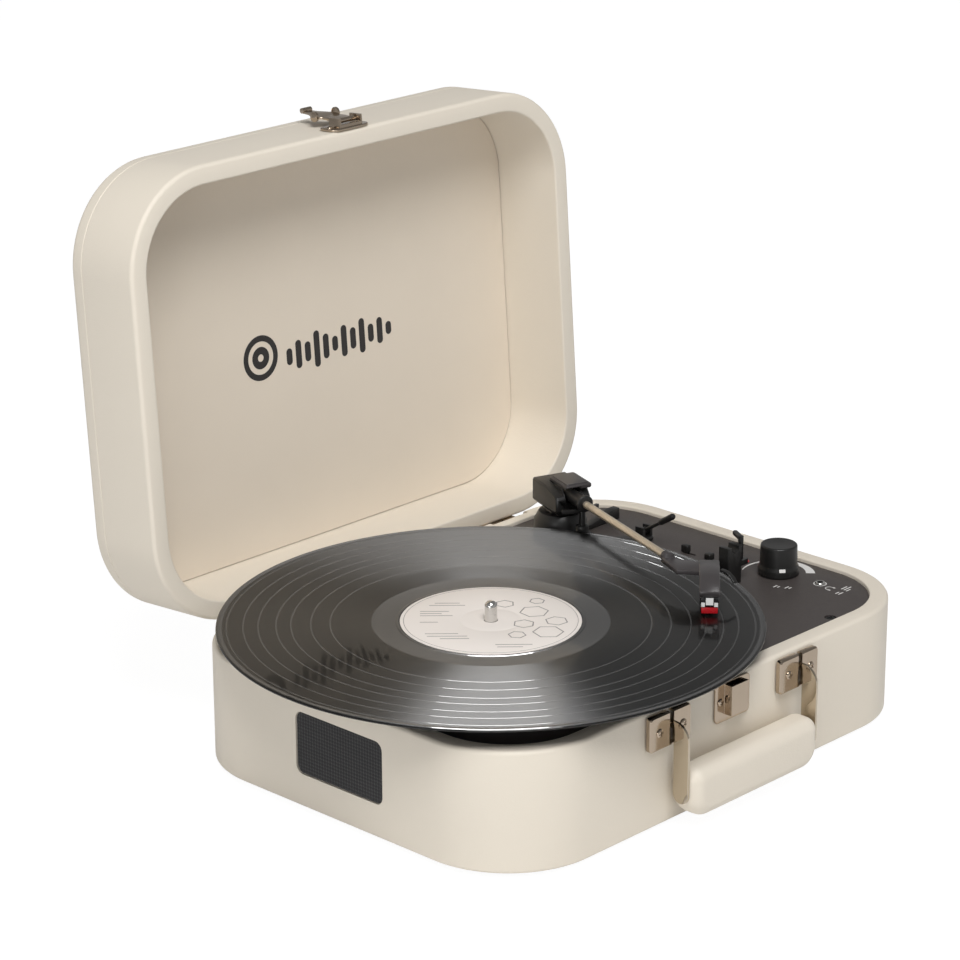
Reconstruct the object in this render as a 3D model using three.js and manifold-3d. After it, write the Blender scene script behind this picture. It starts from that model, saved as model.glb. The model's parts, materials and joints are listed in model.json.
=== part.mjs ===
// Suitcase record player with its lid open: a leatherette case with speakers, deck, belt-driven
// platter, record, tonearm, cue lift, volume knob, carrying handle, catch and toggle latch.
// Millimetres, +Z up, +X to the right seen from the handle, +Y towards the lid hinge.
// Inside this file z = 0 is the underside of the case walls and x = y = 0 is the case's middle.
// The exported group is shifted so that its origin is the middle of the underside of its box.
import * as THREE from 'three';
import { mergeVertices } from 'three/addons/utils/BufferGeometryUtils.js';
import Module from 'manifold-3d';

const wasm = await Module();
wasm.setup();

// ---- driving dimensions ----
const GAP = 0.3;
const CASE_WIDTH = 348;
const CASE_DEPTH = 259.6;
const CASE_HEIGHT = 68.8;
const CORNER_RADIUS = 56.5;
const CORNER_STEPS = 6;
const WALL = 10.7;
const EDGE_ROUNDING = 2.4;
const BOTTOM_THICKNESS = 5;
const FOOT_HEIGHT = 3.2;
const DECK_TOP = 66.9;
const DECK_THICKNESS = 3;

const LID_DEPTH = 51.9;
const LID_WALL = 11.1;
const LID_PANEL_THICKNESS = 3.4;
const LID_LINING_THICKNESS = 1.3;
const LID_SEAM = 0.5;
const LID_OPEN_ANGLE = 94;
const HINGE_AXIS = { y: 130.4, z: 63.7 };
const HINGE_X = 97;
const HINGE_WIDTH = 30;
const KNUCKLE_RADIUS = 2.2;
const LEAF_THICKNESS = 1.2;

const GRILLE = { y: -3.2, z: 37.6, width: 65.6, height: 36.2, radius: 5, thickness: 2.4 };
const SPEAKER_RADIUS = 28;

const SPINDLE = { x: -57, y: -3.7, radius: 3.5, top: 93.6, bottom: 46 };
const PLATTER = { radius: 100, bottom: 70, top: 78, skirt: 2.6, plate: 3 };
const DRIVE_RING = { radius: 60, width: 3, bottom: 69.3 };
const MAT = { radius: 98, thickness: 1.8 };
const RECORD = { radius: 150.8, bottom: 80.4, top: 82.3, labelRadius: 50, recess: 0.7 };
const MOTOR = { distance: 78, angle: -35, radius: 14, height: 24, pulleyRadius: 5, shaftRadius: 1.2 };
const BELT = { thickness: 0.9, height: 3.6 };

const ARM_PIVOT = { x: 96, y: 84, z: 98.4 };
const ARM_ANGLE = -110.2;
const ARM_TUBE = { radius: 2.2, start: 32.3, end: 127 };
const HEAD_OFFSET_ANGLE = -29.3;
const STYLUS = { along: 183.1, across: -2.9, bottom: 83 };
const CARTRIDGE = { length: 32, width: 10.4, bottom: 84.4, top: 95.4 };

const KNOB = { x: 138.9, y: -48.3, skirtRadius: 12.1, capRadius: 11, skirtHeight: 4, top: 85.2 };
const FITTINGS_X = -3;
const HANDLE = { halfSpan: 54, pivotY: -132, pivotZ: 59.2, bladeThickness: 1.6, bladeOffset: 1.2 };
const BRACKET = { width: 33, height: 20, depth: 4.2, wall: 1, middleZ: 56.5 };
const GRIP = { width: 104.6, height: 28.6, thickness: 19, middleY: -141.4, middleZ: 20.2 };
const JACK = { x: 141.9, y: -76.7 };
const LED = { x: 140.4, y: -21.4 };
const TRANSIT_SCREW = { x: 104.4, y: -113.4 };
const SWITCHES = [
  { name: 'speed_switch', x: 128.3, y: 13, width: 3.8, depth: 5, height: 4.6, travel: 6 },
  { name: 'auto_stop_switch', x: 128.3, y: -5, width: 5, depth: 4.4, height: 3.8, travel: 4 },
];
const SWITCH_STEM = { width: 1.4, depth: 2.4, clearance: 0.3 };
const CATCH = {
  width: 29, bottom: 44.6, top: 67.4, hookWidth: 14, hookReach: 6.6, hookBottom: 49, hookTop: 66.4,
};
const REST = { x: 107, y: -38, saddle: 86, prong: 90, width: 12, depth: 8 };
const CLIP = { x: 116.4, y: -38, bottom: 79.6, top: 93.4 };
const CUE = {
  radius: 26, postAngle: -108, barAngles: [-136, -80], barTop: 93.8, barSize: 2.2, postRadius: 1.9,
};
const CUE_LEVER = { x: 127, y: 44.8, z: 73, tilt: 33, length: 24.6 };
const LATCH = { width: 29, height: 15, pivotOut: 4.6, pivotUp: 6.2, leverLength: 33, rest: 3 };

const FRONT = -CASE_DEPTH / 2;
const BACK = CASE_DEPTH / 2;
const LID_BOTTOM = CASE_HEIGHT + LID_SEAM;
const ROUNDED_EDGES = { bevel: EDGE_ROUNDING, bevelSegments: 2, curveSegments: CORNER_STEPS };

// ---- materials ----
const finish = (color, roughness, metalness = 0) =>
  new THREE.MeshStandardMaterial({ color, roughness, metalness });
const materials = {
  leatherette: () => finish(0xdcd5c6, 0.62),
  lining: () => finish(0xcbc0b0, 0.85),
  deck: () => finish(0x3c3835, 0.55),
  blackPlastic: () => finish(0x151515, 0.45),
  darkCloth: () => finish(0x1c1c1f, 0.9),
  vinyl: () => finish(0x0b0b0c, 0.25),
  label: () => finish(0xe9e2d8, 0.7),
  nickel: () => finish(0xc9b9a6, 0.25, 1),
  steel: () => finish(0xc0c0c0, 0.3, 1),
  rubber: () => finish(0x191919, 0.9),
  champagne: () => finish(0xcfc2ac, 0.35, 0.8),
  redPlastic: () => finish(0xa0101c, 0.35),
  board: () => finish(0x27573a, 0.6),
  felt: () => finish(0x262626, 0.95),
};

// ---- geometry helpers ----
const radians = THREE.MathUtils.degToRad;

function roundedRectangle(width, height, radius) {
  const w = width / 2;
  const h = height / 2;
  const shape = new THREE.Shape();
  shape.moveTo(-w + radius, -h);
  shape.lineTo(w - radius, -h);
  shape.absarc(w - radius, -h + radius, radius, -Math.PI / 2, 0);
  shape.lineTo(w, h - radius);
  shape.absarc(w - radius, h - radius, radius, 0, Math.PI / 2);
  shape.lineTo(-w + radius, h);
  shape.absarc(-w + radius, h - radius, radius, Math.PI / 2, Math.PI);
  shape.lineTo(-w, -h + radius);
  shape.absarc(-w + radius, -h + radius, radius, Math.PI, 1.5 * Math.PI);
  return shape;
}

function polygon(points) {
  return new THREE.Shape(points.map(([x, y]) => new THREE.Vector2(x, y)));
}

// Extrudes an outline along +Z from z = 0, its edges rounded inwards by the bevel.
function prism(shape, height, { bevel = 0, bevelSegments = 1, curveSegments = 4 } = {}) {
  const geometry = new THREE.ExtrudeGeometry(shape, {
    depth: height - 2 * bevel,
    bevelEnabled: bevel > 0,
    bevelThickness: bevel,
    bevelSize: bevel,
    bevelOffset: -bevel,
    bevelSegments,
    curveSegments,
    steps: 1,
  });
  return geometry.translate(0, 0, bevel);
}

function box(width, depth, height, x = 0, y = 0, z = 0) {
  return new THREE.BoxGeometry(width, depth, height).translate(x, y, z);
}

// An upright cylinder standing on z = 0.
function rod(radius, height, segments = 14) {
  return new THREE.CylinderGeometry(radius, radius, height, segments)
    .rotateX(Math.PI / 2)
    .translate(0, 0, height / 2);
}

// Turns an (r, z) profile about the Z axis.
function turned(profile, segments = 20) {
  const points = profile.map(([r, z]) => new THREE.Vector2(r, z));
  return new THREE.LatheGeometry(points, segments).rotateX(Math.PI / 2);
}

function solidOf(geometry) {
  const bare = geometry.clone();
  bare.deleteAttribute('normal');
  bare.deleteAttribute('uv');
  const merged = mergeVertices(bare, 1e-4);
  const vertProperties = new Float32Array(merged.attributes.position.array);
  const triVerts = new Uint32Array(merged.index.array);
  return new wasm.Manifold(new wasm.Mesh({ numProp: 3, vertProperties, triVerts }));
}

function geometryOf(solid) {
  const { vertProperties, triVerts } = solid.getMesh();
  const geometry = new THREE.BufferGeometry();
  geometry.setAttribute('position', new THREE.Float32BufferAttribute(vertProperties, 3));
  geometry.setIndex(new THREE.Uint32BufferAttribute(triVerts, 1));
  geometry.computeVertexNormals();
  return geometry;
}

function cut(geometry, ...tools) {
  return geometryOf(tools.reduce((solid, tool) => solid.subtract(solidOf(tool)), solidOf(geometry)));
}

function join(geometry, ...others) {
  return geometryOf(others.reduce((solid, other) => solid.add(solidOf(other)), solidOf(geometry)));
}

const player = new THREE.Group();

function addMesh(name, geometry, material, parent = player, place = [0, 0, 0], turn = [0, 0, 0]) {
  const mesh = new THREE.Mesh(geometry, material);
  mesh.name = name;
  mesh.position.set(...place);
  mesh.rotation.set(...turn.map(radians));
  parent.add(mesh);
  return mesh;
}

function addGroup(parent, place, turn = [0, 0, 0]) {
  const group = new THREE.Group();
  group.position.set(...place);
  group.rotation.set(...turn.map(radians));
  parent.add(group);
  return group;
}

// ---- case ----
const caseOutline = (inset) =>
  roundedRectangle(CASE_WIDTH - 2 * inset, CASE_DEPTH - 2 * inset, CORNER_RADIUS - inset);

function grilleWindow(depth) {
  const outline = roundedRectangle(GRILLE.width, GRILLE.height, GRILLE.radius);
  return prism(outline, depth, { curveSegments: 4 })
    .rotateX(Math.PI / 2)
    .rotateZ(Math.PI / 2);
}

function hingeNotch(x) {
  const depth = 2.4 + KNUCKLE_RADIUS;
  const height = CASE_HEIGHT;
  return box(HINGE_WIDTH + 1, 2 * depth, height, x, BACK, HINGE_AXIS.z - 3.2 + height / 2);
}

function addCase() {
  const outer = prism(caseOutline(0), CASE_HEIGHT, ROUNDED_EDGES);
  const inner = prism(caseOutline(WALL), CASE_HEIGHT + 2, { curveSegments: CORNER_STEPS })
    .translate(0, 0, -1);
  const windows = [-1, 1].map((side) =>
    grilleWindow(4 * WALL).translate(side * CASE_WIDTH / 2 - 2 * WALL, GRILLE.y, GRILLE.z));
  const notches = [-HINGE_X, HINGE_X].map(hingeNotch);
  const shell = cut(outer, inner, ...windows, ...notches);
  addMesh('base_shell', shell, materials.leatherette());

  const panel = prism(caseOutline(WALL + GAP), BOTTOM_THICKNESS, { curveSegments: CORNER_STEPS });
  addMesh('bottom_panel', panel, materials.blackPlastic(), player, [0, 0, 1]);

  const feet = [[-1, -1], [1, -1], [1, 1], [-1, 1]];
  const footNames = ['front_left', 'front_right', 'back_right', 'back_left'];
  const footTop = FOOT_HEIGHT + 0.7;
  feet.forEach(([sx, sy], i) => {
    const foot = turned([[0, 0], [8.2, 0], [9, 1], [9, footTop], [0, footTop]]);
    addMesh(`foot_${footNames[i]}`, foot, materials.rubber(), player,
      [sx * 128, sy * 84, -FOOT_HEIGHT]);
  });
}

function addSpeakers() {
  for (const [side, name] of [[-1, 'left'], [1, 'right']]) {
    const cloth = roundedRectangle(
      GRILLE.width - 2 * GAP, GRILLE.height - 2 * GAP, GRILLE.radius - GAP);
    const panel = prism(cloth, GRILLE.thickness, { bevel: 0.6, curveSegments: 4 })
      .rotateX(Math.PI / 2)
      .rotateZ(Math.PI / 2);
    const face = CASE_WIDTH / 2 - 0.5;
    const x = side > 0 ? face - GRILLE.thickness : -face;
    addMesh(`speaker_grille_${name}`, panel, materials.darkCloth(), player,
      [x, GRILLE.y, GRILLE.z]);

    const driver = turned([
      [0, 0], [9, 0], [9, 9], [15, 11], [SPEAKER_RADIUS / 2 + 2.4, 18], [SPEAKER_RADIUS / 2 + 3, 20],
      [SPEAKER_RADIUS / 2, 20], [4, 14], [0, 15],
    ]).rotateY(Math.PI / 2);
    if (side < 0) driver.rotateZ(Math.PI);
    const back = CASE_WIDTH / 2 - WALL - 22;
    addMesh(`speaker_driver_${name}`, driver, materials.blackPlastic(), player,
      [side * back, GRILLE.y, GRILLE.z]);
  }
}

function motorPlace() {
  const angle = radians(MOTOR.angle);
  return [SPINDLE.x + MOTOR.distance * Math.cos(angle), SPINDLE.y + MOTOR.distance * Math.sin(angle)];
}

// A switch slides towards the front, so its slot runs that way from where it stands.
function switchSlot({ x, y, travel }) {
  const width = SWITCH_STEM.width + 2 * SWITCH_STEM.clearance;
  const depth = SWITCH_STEM.depth + travel + 2 * SWITCH_STEM.clearance;
  return box(width, depth, 20, x, y - travel / 2, DECK_TOP);
}

function addDeck() {
  const [motorX, motorY] = motorPlace();
  const hole = (x, y, radius) => rod(radius, 20).translate(x, y, DECK_TOP - 10);
  const plate = prism(caseOutline(WALL + GAP), DECK_THICKNESS, { curveSegments: CORNER_STEPS })
    .translate(0, 0, DECK_TOP - DECK_THICKNESS);
  const deck = cut(
    plate,
    hole(SPINDLE.x, SPINDLE.y, SPINDLE.radius + 0.6),
    hole(motorX, motorY, 4),
    hole(KNOB.x, KNOB.y, 4),
    hole(JACK.x, JACK.y, 1.8),
    hole(LED.x, LED.y, 1.9),
    rod(3.4, 4).translate(TRANSIT_SCREW.x, TRANSIT_SCREW.y, DECK_TOP - 1.4),
    ...SWITCHES.map(switchSlot),
  );
  addMesh('deck_plate', deck, materials.deck());

  const jackNut = turned([[1.8, 0], [3.1, 0], [3.1, 0.5], [2.7, 0.9], [1.8, 0.9], [1.8, 0]], 16);
  addMesh('headphone_jack', jackNut, materials.steel(), player, [JACK.x, JACK.y, DECK_TOP + GAP]);

  const led = turned([[0, 0], [1.5, 0], [1.5, 2.6], [1, 3.2], [0, 3.4]], 12);
  addMesh('power_led', led, materials.redPlastic(), player, [LED.x, LED.y, DECK_TOP - 2.5]);

  const head = turned([[0, 0], [2.9, 0], [2.9, 0.9], [2.4, 1.3], [0, 1.3]], 16);
  const cross = [box(4.4, 0.9, 1.6, 0, 0, 1.3), box(0.9, 4.4, 1.6, 0, 0, 1.3)];
  const place = [TRANSIT_SCREW.x, TRANSIT_SCREW.y, DECK_TOP - 1.4 + GAP];
  addMesh('transit_screw', cut(head, ...cross), materials.blackPlastic(), player, place);

  const boardPlace = [96, -60, BOTTOM_THICKNESS + 12];
  addMesh('circuit_board', box(70, 46, 1.6), materials.board(), player, boardPlace);
}

function addRearSockets() {
  const plateZ = 30;
  const plate = prism(roundedRectangle(62, 24, 3), 1.5, { bevel: 0.4, curveSegments: 4 })
    .rotateX(Math.PI / 2);
  addMesh('socket_plate', plate, materials.blackPlastic(), player, [0, BACK + GAP + 1.5, plateZ]);
  const socketNames = ['audio_socket_left', 'audio_socket_right', 'power_inlet'];
  socketNames.forEach((name, i) => {
    const barrel = turned([[1.7, 0], [3.9, 0], [3.9, 4.6], [3.3, 5.2], [1.7, 5.2], [1.7, 0]], 16)
      .rotateX(-Math.PI / 2);
    const place = [-20 + 20 * i, BACK + 2 * GAP + 1.5, plateZ];
    addMesh(name, barrel, materials.steel(), player, place);
  });
}

// ---- controls on the deck ----
function addControls() {
  const height = KNOB.top - DECK_TOP - GAP;
  const skirt = KNOB.skirtHeight;
  const body = turned([
    [0, 0], [KNOB.skirtRadius - 0.4, 0], [KNOB.skirtRadius, 0.5], [KNOB.skirtRadius, skirt],
    [KNOB.capRadius, skirt + 2], [KNOB.capRadius - 0.3, height - 0.9], [KNOB.capRadius - 0.9, height],
    [0, height],
  ], 28);
  const shaft = rod(3, 14, 12).translate(0, 0, -12);
  addMesh('volume_knob', join(body, shaft), materials.blackPlastic(), player,
    [KNOB.x, KNOB.y, DECK_TOP + GAP]);

  for (const { name, x, y, width, depth, height } of SWITCHES) {
    const knob = prism(roundedRectangle(width, depth, 0.8), height, { bevel: 0.5, curveSegments: 3 });
    const stem = box(SWITCH_STEM.width, SWITCH_STEM.depth, 6, 0, 0, -2.5);
    addMesh(name, join(knob, stem), materials.blackPlastic(), player, [x, y, DECK_TOP + GAP]);
  }
}

// ---- drive and platter ----
function beltLoop(inset) {
  const ring = DRIVE_RING.radius + inset;
  const pulley = MOTOR.pulleyRadius + inset;
  const spread = Math.acos((ring - pulley) / MOTOR.distance);
  const shape = new THREE.Shape();
  shape.absarc(0, 0, ring, spread, 2 * Math.PI - spread);
  shape.absarc(MOTOR.distance, 0, pulley, -spread, spread);
  return shape;
}

function addDrive() {
  const [motorX, motorY] = motorPlace();
  const motorTop = DECK_TOP - DECK_THICKNESS - GAP;
  const can = turned([
    [0, 0], [MOTOR.radius - 1, 0], [MOTOR.radius, 1], [MOTOR.radius, MOTOR.height], [0, MOTOR.height],
  ], 20);
  addMesh('motor', can, materials.steel(), player, [motorX, motorY, motorTop - MOTOR.height]);

  const beltMiddle = 72.6;
  const pulleyBottom = beltMiddle - 3.4;
  const pulley = turned([
    [0, motorTop + GAP], [MOTOR.shaftRadius, motorTop + GAP], [MOTOR.shaftRadius, pulleyBottom],
    [6.2, pulleyBottom], [6.2, pulleyBottom + 1], [MOTOR.pulleyRadius, pulleyBottom + 1.4],
    [MOTOR.pulleyRadius, pulleyBottom + 5.4], [6.2, pulleyBottom + 5.6], [0, pulleyBottom + 5.6],
  ], 18);
  addMesh('motor_pulley', pulley, materials.blackPlastic(), player, [motorX, motorY, 0]);

  const shape = beltLoop(GAP + BELT.thickness);
  const opening = beltLoop(GAP);
  shape.holes.push(new THREE.Path(opening.getPoints(12)));
  const belt = prism(shape, BELT.height, { curveSegments: 12 });
  addMesh('drive_belt', belt, materials.rubber(), player,
    [SPINDLE.x, SPINDLE.y, beltMiddle - BELT.height / 2], [0, 0, MOTOR.angle]);
}

function addPlatter() {
  const centre = [SPINDLE.x, SPINDLE.y, 0];
  const { radius, bottom, top, skirt, plate } = PLATTER;
  const bore = SPINDLE.radius + GAP;
  const ringInner = DRIVE_RING.radius - DRIVE_RING.width;
  const platter = turned([
    [bore, bottom], [9, bottom], [9, top - plate], [ringInner, top - plate], [ringInner, DRIVE_RING.bottom],
    [DRIVE_RING.radius, DRIVE_RING.bottom], [DRIVE_RING.radius, top - plate], [radius - skirt, top - plate],
    [radius - skirt, bottom], [radius, bottom], [radius, top - 0.8], [radius - 0.8, top], [bore, top],
    [bore, bottom],
  ], 36);
  addMesh('platter', platter, materials.blackPlastic(), player, centre);

  const matBottom = top + GAP;
  const matTop = matBottom + MAT.thickness;
  const mat = turned([
    [bore, matBottom], [MAT.radius, matBottom], [MAT.radius, matTop], [bore, matTop], [bore, matBottom],
  ], 40);
  addMesh('slip_mat', mat, materials.felt(), player, centre);

  const recessRadius = RECORD.labelRadius + GAP;
  const rim = 0.45;
  const record = turned([
    [bore, RECORD.bottom], [RECORD.radius - rim, RECORD.bottom], [RECORD.radius, RECORD.bottom + rim],
    [RECORD.radius, RECORD.top - rim], [RECORD.radius - rim, RECORD.top], [recessRadius, RECORD.top],
    [recessRadius, RECORD.top - RECORD.recess], [bore, RECORD.top - RECORD.recess],
    [bore, RECORD.bottom],
  ], 56);
  addMesh('vinyl_record', record, materials.vinyl(), player, centre);

  const labelBottom = RECORD.top - RECORD.recess + GAP;
  const labelTop = RECORD.top + 0.05;
  const label = turned([
    [bore, labelBottom], [RECORD.labelRadius, labelBottom], [RECORD.labelRadius, labelTop],
    [bore, labelTop], [bore, labelBottom],
  ], 40);
  addMesh('record_label', label, materials.label(), player, centre);

  const spindle = turned([
    [0, SPINDLE.bottom], [SPINDLE.radius, SPINDLE.bottom], [SPINDLE.radius, SPINDLE.top - 2.4],
    [SPINDLE.radius - 0.6, SPINDLE.top - 1], [SPINDLE.radius - 1.8, SPINDLE.top - 0.2], [0, SPINDLE.top],
  ], 16);
  addMesh('spindle', spindle, materials.steel(), player, centre);
}

// ---- tonearm ----
// Inside the arm's groups +X runs along the arm from its pivot and +Y to its outer side.
function addArmPedestal() {
  const pedestal = turned([
    [0, DECK_TOP + GAP], [19, DECK_TOP + GAP], [19, DECK_TOP + 2.4], [16.5, DECK_TOP + 3.4], [15.6, 80],
    [13, 84.8], [0, 84.8],
  ], 28);
  const wing = polygon([
    [10, DECK_TOP + GAP], [49, DECK_TOP + GAP], [49, DECK_TOP + 7.2], [43, DECK_TOP + 7.2],
    [24, DECK_TOP + 3], [10, DECK_TOP + 3],
  ]);
  const wingThickness = 5;
  const wingY = -1.5;
  const wingSolid = prism(wing, wingThickness)
    .rotateX(Math.PI / 2)
    .translate(0, wingY + wingThickness / 2, 0);
  addMesh('arm_pedestal', join(pedestal, wingSolid), materials.blackPlastic(), player,
    [ARM_PIVOT.x, ARM_PIVOT.y, 0]);
}

function addArmHousing(arm) {
  const bottom = 86.4;
  const top = 102.6;
  const side = new THREE.Shape();
  side.moveTo(-18.5, bottom + 3);
  side.lineTo(-13, bottom);
  side.lineTo(14, bottom);
  side.lineTo(17, bottom + 4);
  side.lineTo(17, top - 5.4);
  side.lineTo(12.5, top);
  side.lineTo(-14.5, top);
  side.lineTo(-18.5, top - 4);
  const halfWidth = 11.5;
  const body = prism(side, 2 * halfWidth, { bevel: 1.1 })
    .rotateX(Math.PI / 2)
    .translate(0, halfWidth, 0);
  const channel = box(23, 10.4, 14, 6.9, 0, top - 5);
  const pinHole = rod(1.9, 17).rotateX(Math.PI / 2).translate(0, 8.5, ARM_PIVOT.z);
  const neck = rod(9, bottom - 84.8 - GAP + 1, 20).translate(0, 0, 84.8 + GAP);
  const corner = box(9, 9, 30).rotateZ(Math.PI / 4).translate(-19.4, -12.4, ARM_PIVOT.z);
  const lowerEdge = box(50, 6.4, 6.4).rotateX(Math.PI / 4).translate(0, -halfWidth - 0.6, bottom - 0.6);
  const yoke = cut(join(body, neck), channel, pinHole, innerSlope(top), corner, lowerEdge);
  addMesh('arm_yoke', yoke, materials.blackPlastic(), arm);

  const block = prism(roundedRectangle(22, 17, 1.2), 2.8, { bevel: 0.6, curveSegments: 3 });
  const lidPlate = prism(roundedRectangle(19.4, 14.4, 0.8), 1.6, { bevel: 0.3, curveSegments: 3 })
    .translate(0.2, -0.4, 2);
  const cap = cut(join(block, lidPlate), box(30, 9.8, 3.2, 0, -3.4, 0));
  addMesh('arm_cap', cap, materials.blackPlastic(), arm, [7.2, 3, top + GAP]);
}

// Wedge that takes the top of the housing's inner side down towards its front.
function innerSlope(top) {
  const width = 10;
  const slope = polygon([[1, top + 0.05], [20, top - 5], [20, top + 4], [1, top + 4]]);
  return prism(slope, width).rotateX(Math.PI / 2).translate(0, -5.6, 0);
}

function addArmTube(arm) {
  const z = ARM_PIVOT.z;
  const carrier = turned([
    [0, -4], [3.6, -4], [4, -3.5], [4, 17.5], [4.2, 18.2], [4.2, 29.6], [5.2, 29.9], [5.2, 31.6],
    [4.6, 32], [0, 32],
  ], 20).rotateY(Math.PI / 2).translate(0, 0, z);
  const pins = rod(1.5, 16, 12).rotateX(Math.PI / 2).translate(0, 8, z);
  addMesh('arm_carrier', join(carrier, pins), materials.blackPlastic(), arm);

  const tube = rod(ARM_TUBE.radius, ARM_TUBE.end - ARM_TUBE.start, 16)
    .rotateY(Math.PI / 2)
    .translate(ARM_TUBE.start, 0, z);
  addMesh('arm_tube', tube, materials.champagne(), arm);
}

function addHead(arm) {
  const z = ARM_PIVOT.z;
  const socket = turned([[0, 127.3], [3, 127.3], [3.4, 128], [3.4, 133], [0, 133]], 16)
    .rotateY(Math.PI / 2)
    .translate(0, 0, z);
  const direction = radians(HEAD_OFFSET_ANGLE);
  const ahead = [Math.cos(direction), Math.sin(direction)];
  const outward = [-ahead[1], ahead[0]];
  const headPoint = (back, out) => [
    STYLUS.along - back * ahead[0] + out * outward[0],
    STYLUS.across - back * ahead[1] + out * outward[1],
  ];
  const half = CARTRIDGE.width / 2 + 0.5;
  const shellBottom = CARTRIDGE.top + GAP;
  const bend = 22;
  const rear = 42;
  const neck = prism(polygon([
    [130, -3.8], [150.6, -5.4], headPoint(bend + 4, -half), headPoint(bend + 4, 0), headPoint(rear - 1, 0),
    headPoint(rear - 1, -half + 0.4), [136.3, 3.6], [130, 3.6],
  ]), 3.3, { bevel: 0.5 }).translate(0, 0, shellBottom - 0.3);
  const shellTop = 99.1;
  const lip = { top: 96.2, bottom: 92.9, thickness: 1.2 };
  const side = polygon([
    [-rear, shellBottom], [-bend / 2, shellBottom], [-lip.thickness, 94.3], [-lip.thickness, lip.bottom],
    [0, lip.bottom], [0, lip.top], [-bend, shellTop], [-rear, shellTop],
  ]);
  const shell = prism(side, 2 * half, { bevel: 0.4 })
    .rotateX(Math.PI / 2)
    .translate(0, half, 0)
    .rotateZ(direction)
    .translate(STYLUS.along, STYLUS.across, 0);
  addMesh('headshell', join(shell, neck, socket), materials.blackPlastic(), arm);

  const liftPoint = (back, out, rise) =>
    new THREE.Vector3(...headPoint(back, half + out), shellBottom + rise);
  const lift = new THREE.CatmullRomCurve3([
    liftPoint(31, 0.8, 1.6), liftPoint(29.5, 3.6, 1.3),
    liftPoint(27, 6.6, -0.6), liftPoint(24.5, 8.8, -3.4),
  ]);
  const section = roundedRectangle(1.2, 3.2, 0.5);
  const liftGeometry = new THREE.ExtrudeGeometry(section,
    { extrudePath: lift, steps: 6, curveSegments: 2 });
  addMesh('finger_lift', liftGeometry, materials.blackPlastic(), arm);

  const head = addGroup(arm, [STYLUS.along, STYLUS.across, 0], [0, 0, HEAD_OFFSET_ANGLE]);
  const { length, width, bottom, top } = CARTRIDGE;
  const profile = polygon([
    [-length, bottom + 3], [-length + 3, bottom], [-9, bottom + 0.6], [-8.6, 90.2], [-1.5, 90.2],
    [-1.5, 87.1], [-0.4, 87.1], [-0.4, 92.6], [-1.5, 92.6], [-1.5, 94], [-11, top], [-length, top],
  ]);
  const cartridge = prism(profile, width, { bevel: 0.5 })
    .rotateX(Math.PI / 2)
    .translate(0, width / 2, 0);
  addMesh('cartridge', cartridge, materials.blackPlastic(), head);

  const holderTop = 89.9;
  const holder = polygon([
    [-8.2, STYLUS.bottom + 1.8], [-1, STYLUS.bottom], [0, STYLUS.bottom + 0.4], [0, 86.7], [-1.8, 86.7],
    [-1.8, holderTop], [-8.2, holderTop],
  ]);
  const holderWidth = 9.2;
  const stylus = prism(holder, holderWidth, { bevel: 0.3 })
    .rotateX(Math.PI / 2)
    .translate(0, holderWidth / 2, 0);
  addMesh('stylus', stylus, materials.redPlastic(), head);
}

// Curved bar that lifts the arm, the block that guides it, and the lever that raises it.
function addCueLift() {
  const angle = radians(CUE.postAngle);
  const postX = ARM_PIVOT.x + CUE.radius * Math.cos(angle);
  const postY = ARM_PIVOT.y + CUE.radius * Math.sin(angle);
  const bottom = DECK_TOP + GAP;
  const run = [CUE_LEVER.x - postX, CUE_LEVER.y - postY];
  const length = Math.hypot(...run);
  const turn = Math.atan2(run[1], run[0]);

  const slab = prism(roundedRectangle(length + 11, 11, 5), 3, { bevel: 0.8, curveSegments: 3 })
    .translate(length / 2, 0, 0)
    .rotateZ(turn)
    .translate(postX, postY, bottom);
  const guide = rod(4, 16).translate(postX, postY, bottom);
  const bore = rod(CUE.postRadius + 0.25, 40).translate(postX, postY, bottom + 3);
  const ears = [-3.4, 3.4].map((dx) =>
    box(2, 6, 8, CUE_LEVER.x + dx, CUE_LEVER.y, bottom + 4.9));
  const base = cut(join(slab, guide, ...ears), bore);
  addMesh('cue_base', base, materials.blackPlastic());

  const outer = CUE.radius + CUE.barSize / 2;
  const inner = CUE.radius - CUE.barSize / 2;
  const [from, to] = CUE.barAngles.map(radians);
  const arc = new THREE.Shape();
  arc.absarc(0, 0, outer, from, to);
  arc.absarc(0, 0, inner, to, from, true);
  const bar = prism(arc, CUE.barSize, { curveSegments: 6 })
    .translate(ARM_PIVOT.x, ARM_PIVOT.y, CUE.barTop - CUE.barSize);
  const post = rod(CUE.postRadius, CUE.barTop - bottom - 6, 12).translate(postX, postY, bottom + 6);
  addMesh('cue_lift_bar', join(bar, post), materials.blackPlastic());

  const stem = rod(1.1, CUE_LEVER.length, 12);
  const grip = turned([[0, 0], [1.5, 0.3], [1.9, 1.2], [1.9, 12], [1.4, 13], [0, 13.2]], 12)
    .translate(0, 0, CUE_LEVER.length - 10);
  const hub = rod(2.2, 4).rotateY(Math.PI / 2).translate(-2, 0, 0);
  const lever = join(stem, grip, hub).rotateX(radians(90 - CUE_LEVER.tilt));
  addMesh('cue_lever', lever, materials.blackPlastic(), player,
    [CUE_LEVER.x, CUE_LEVER.y, CUE_LEVER.z]);
}

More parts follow.
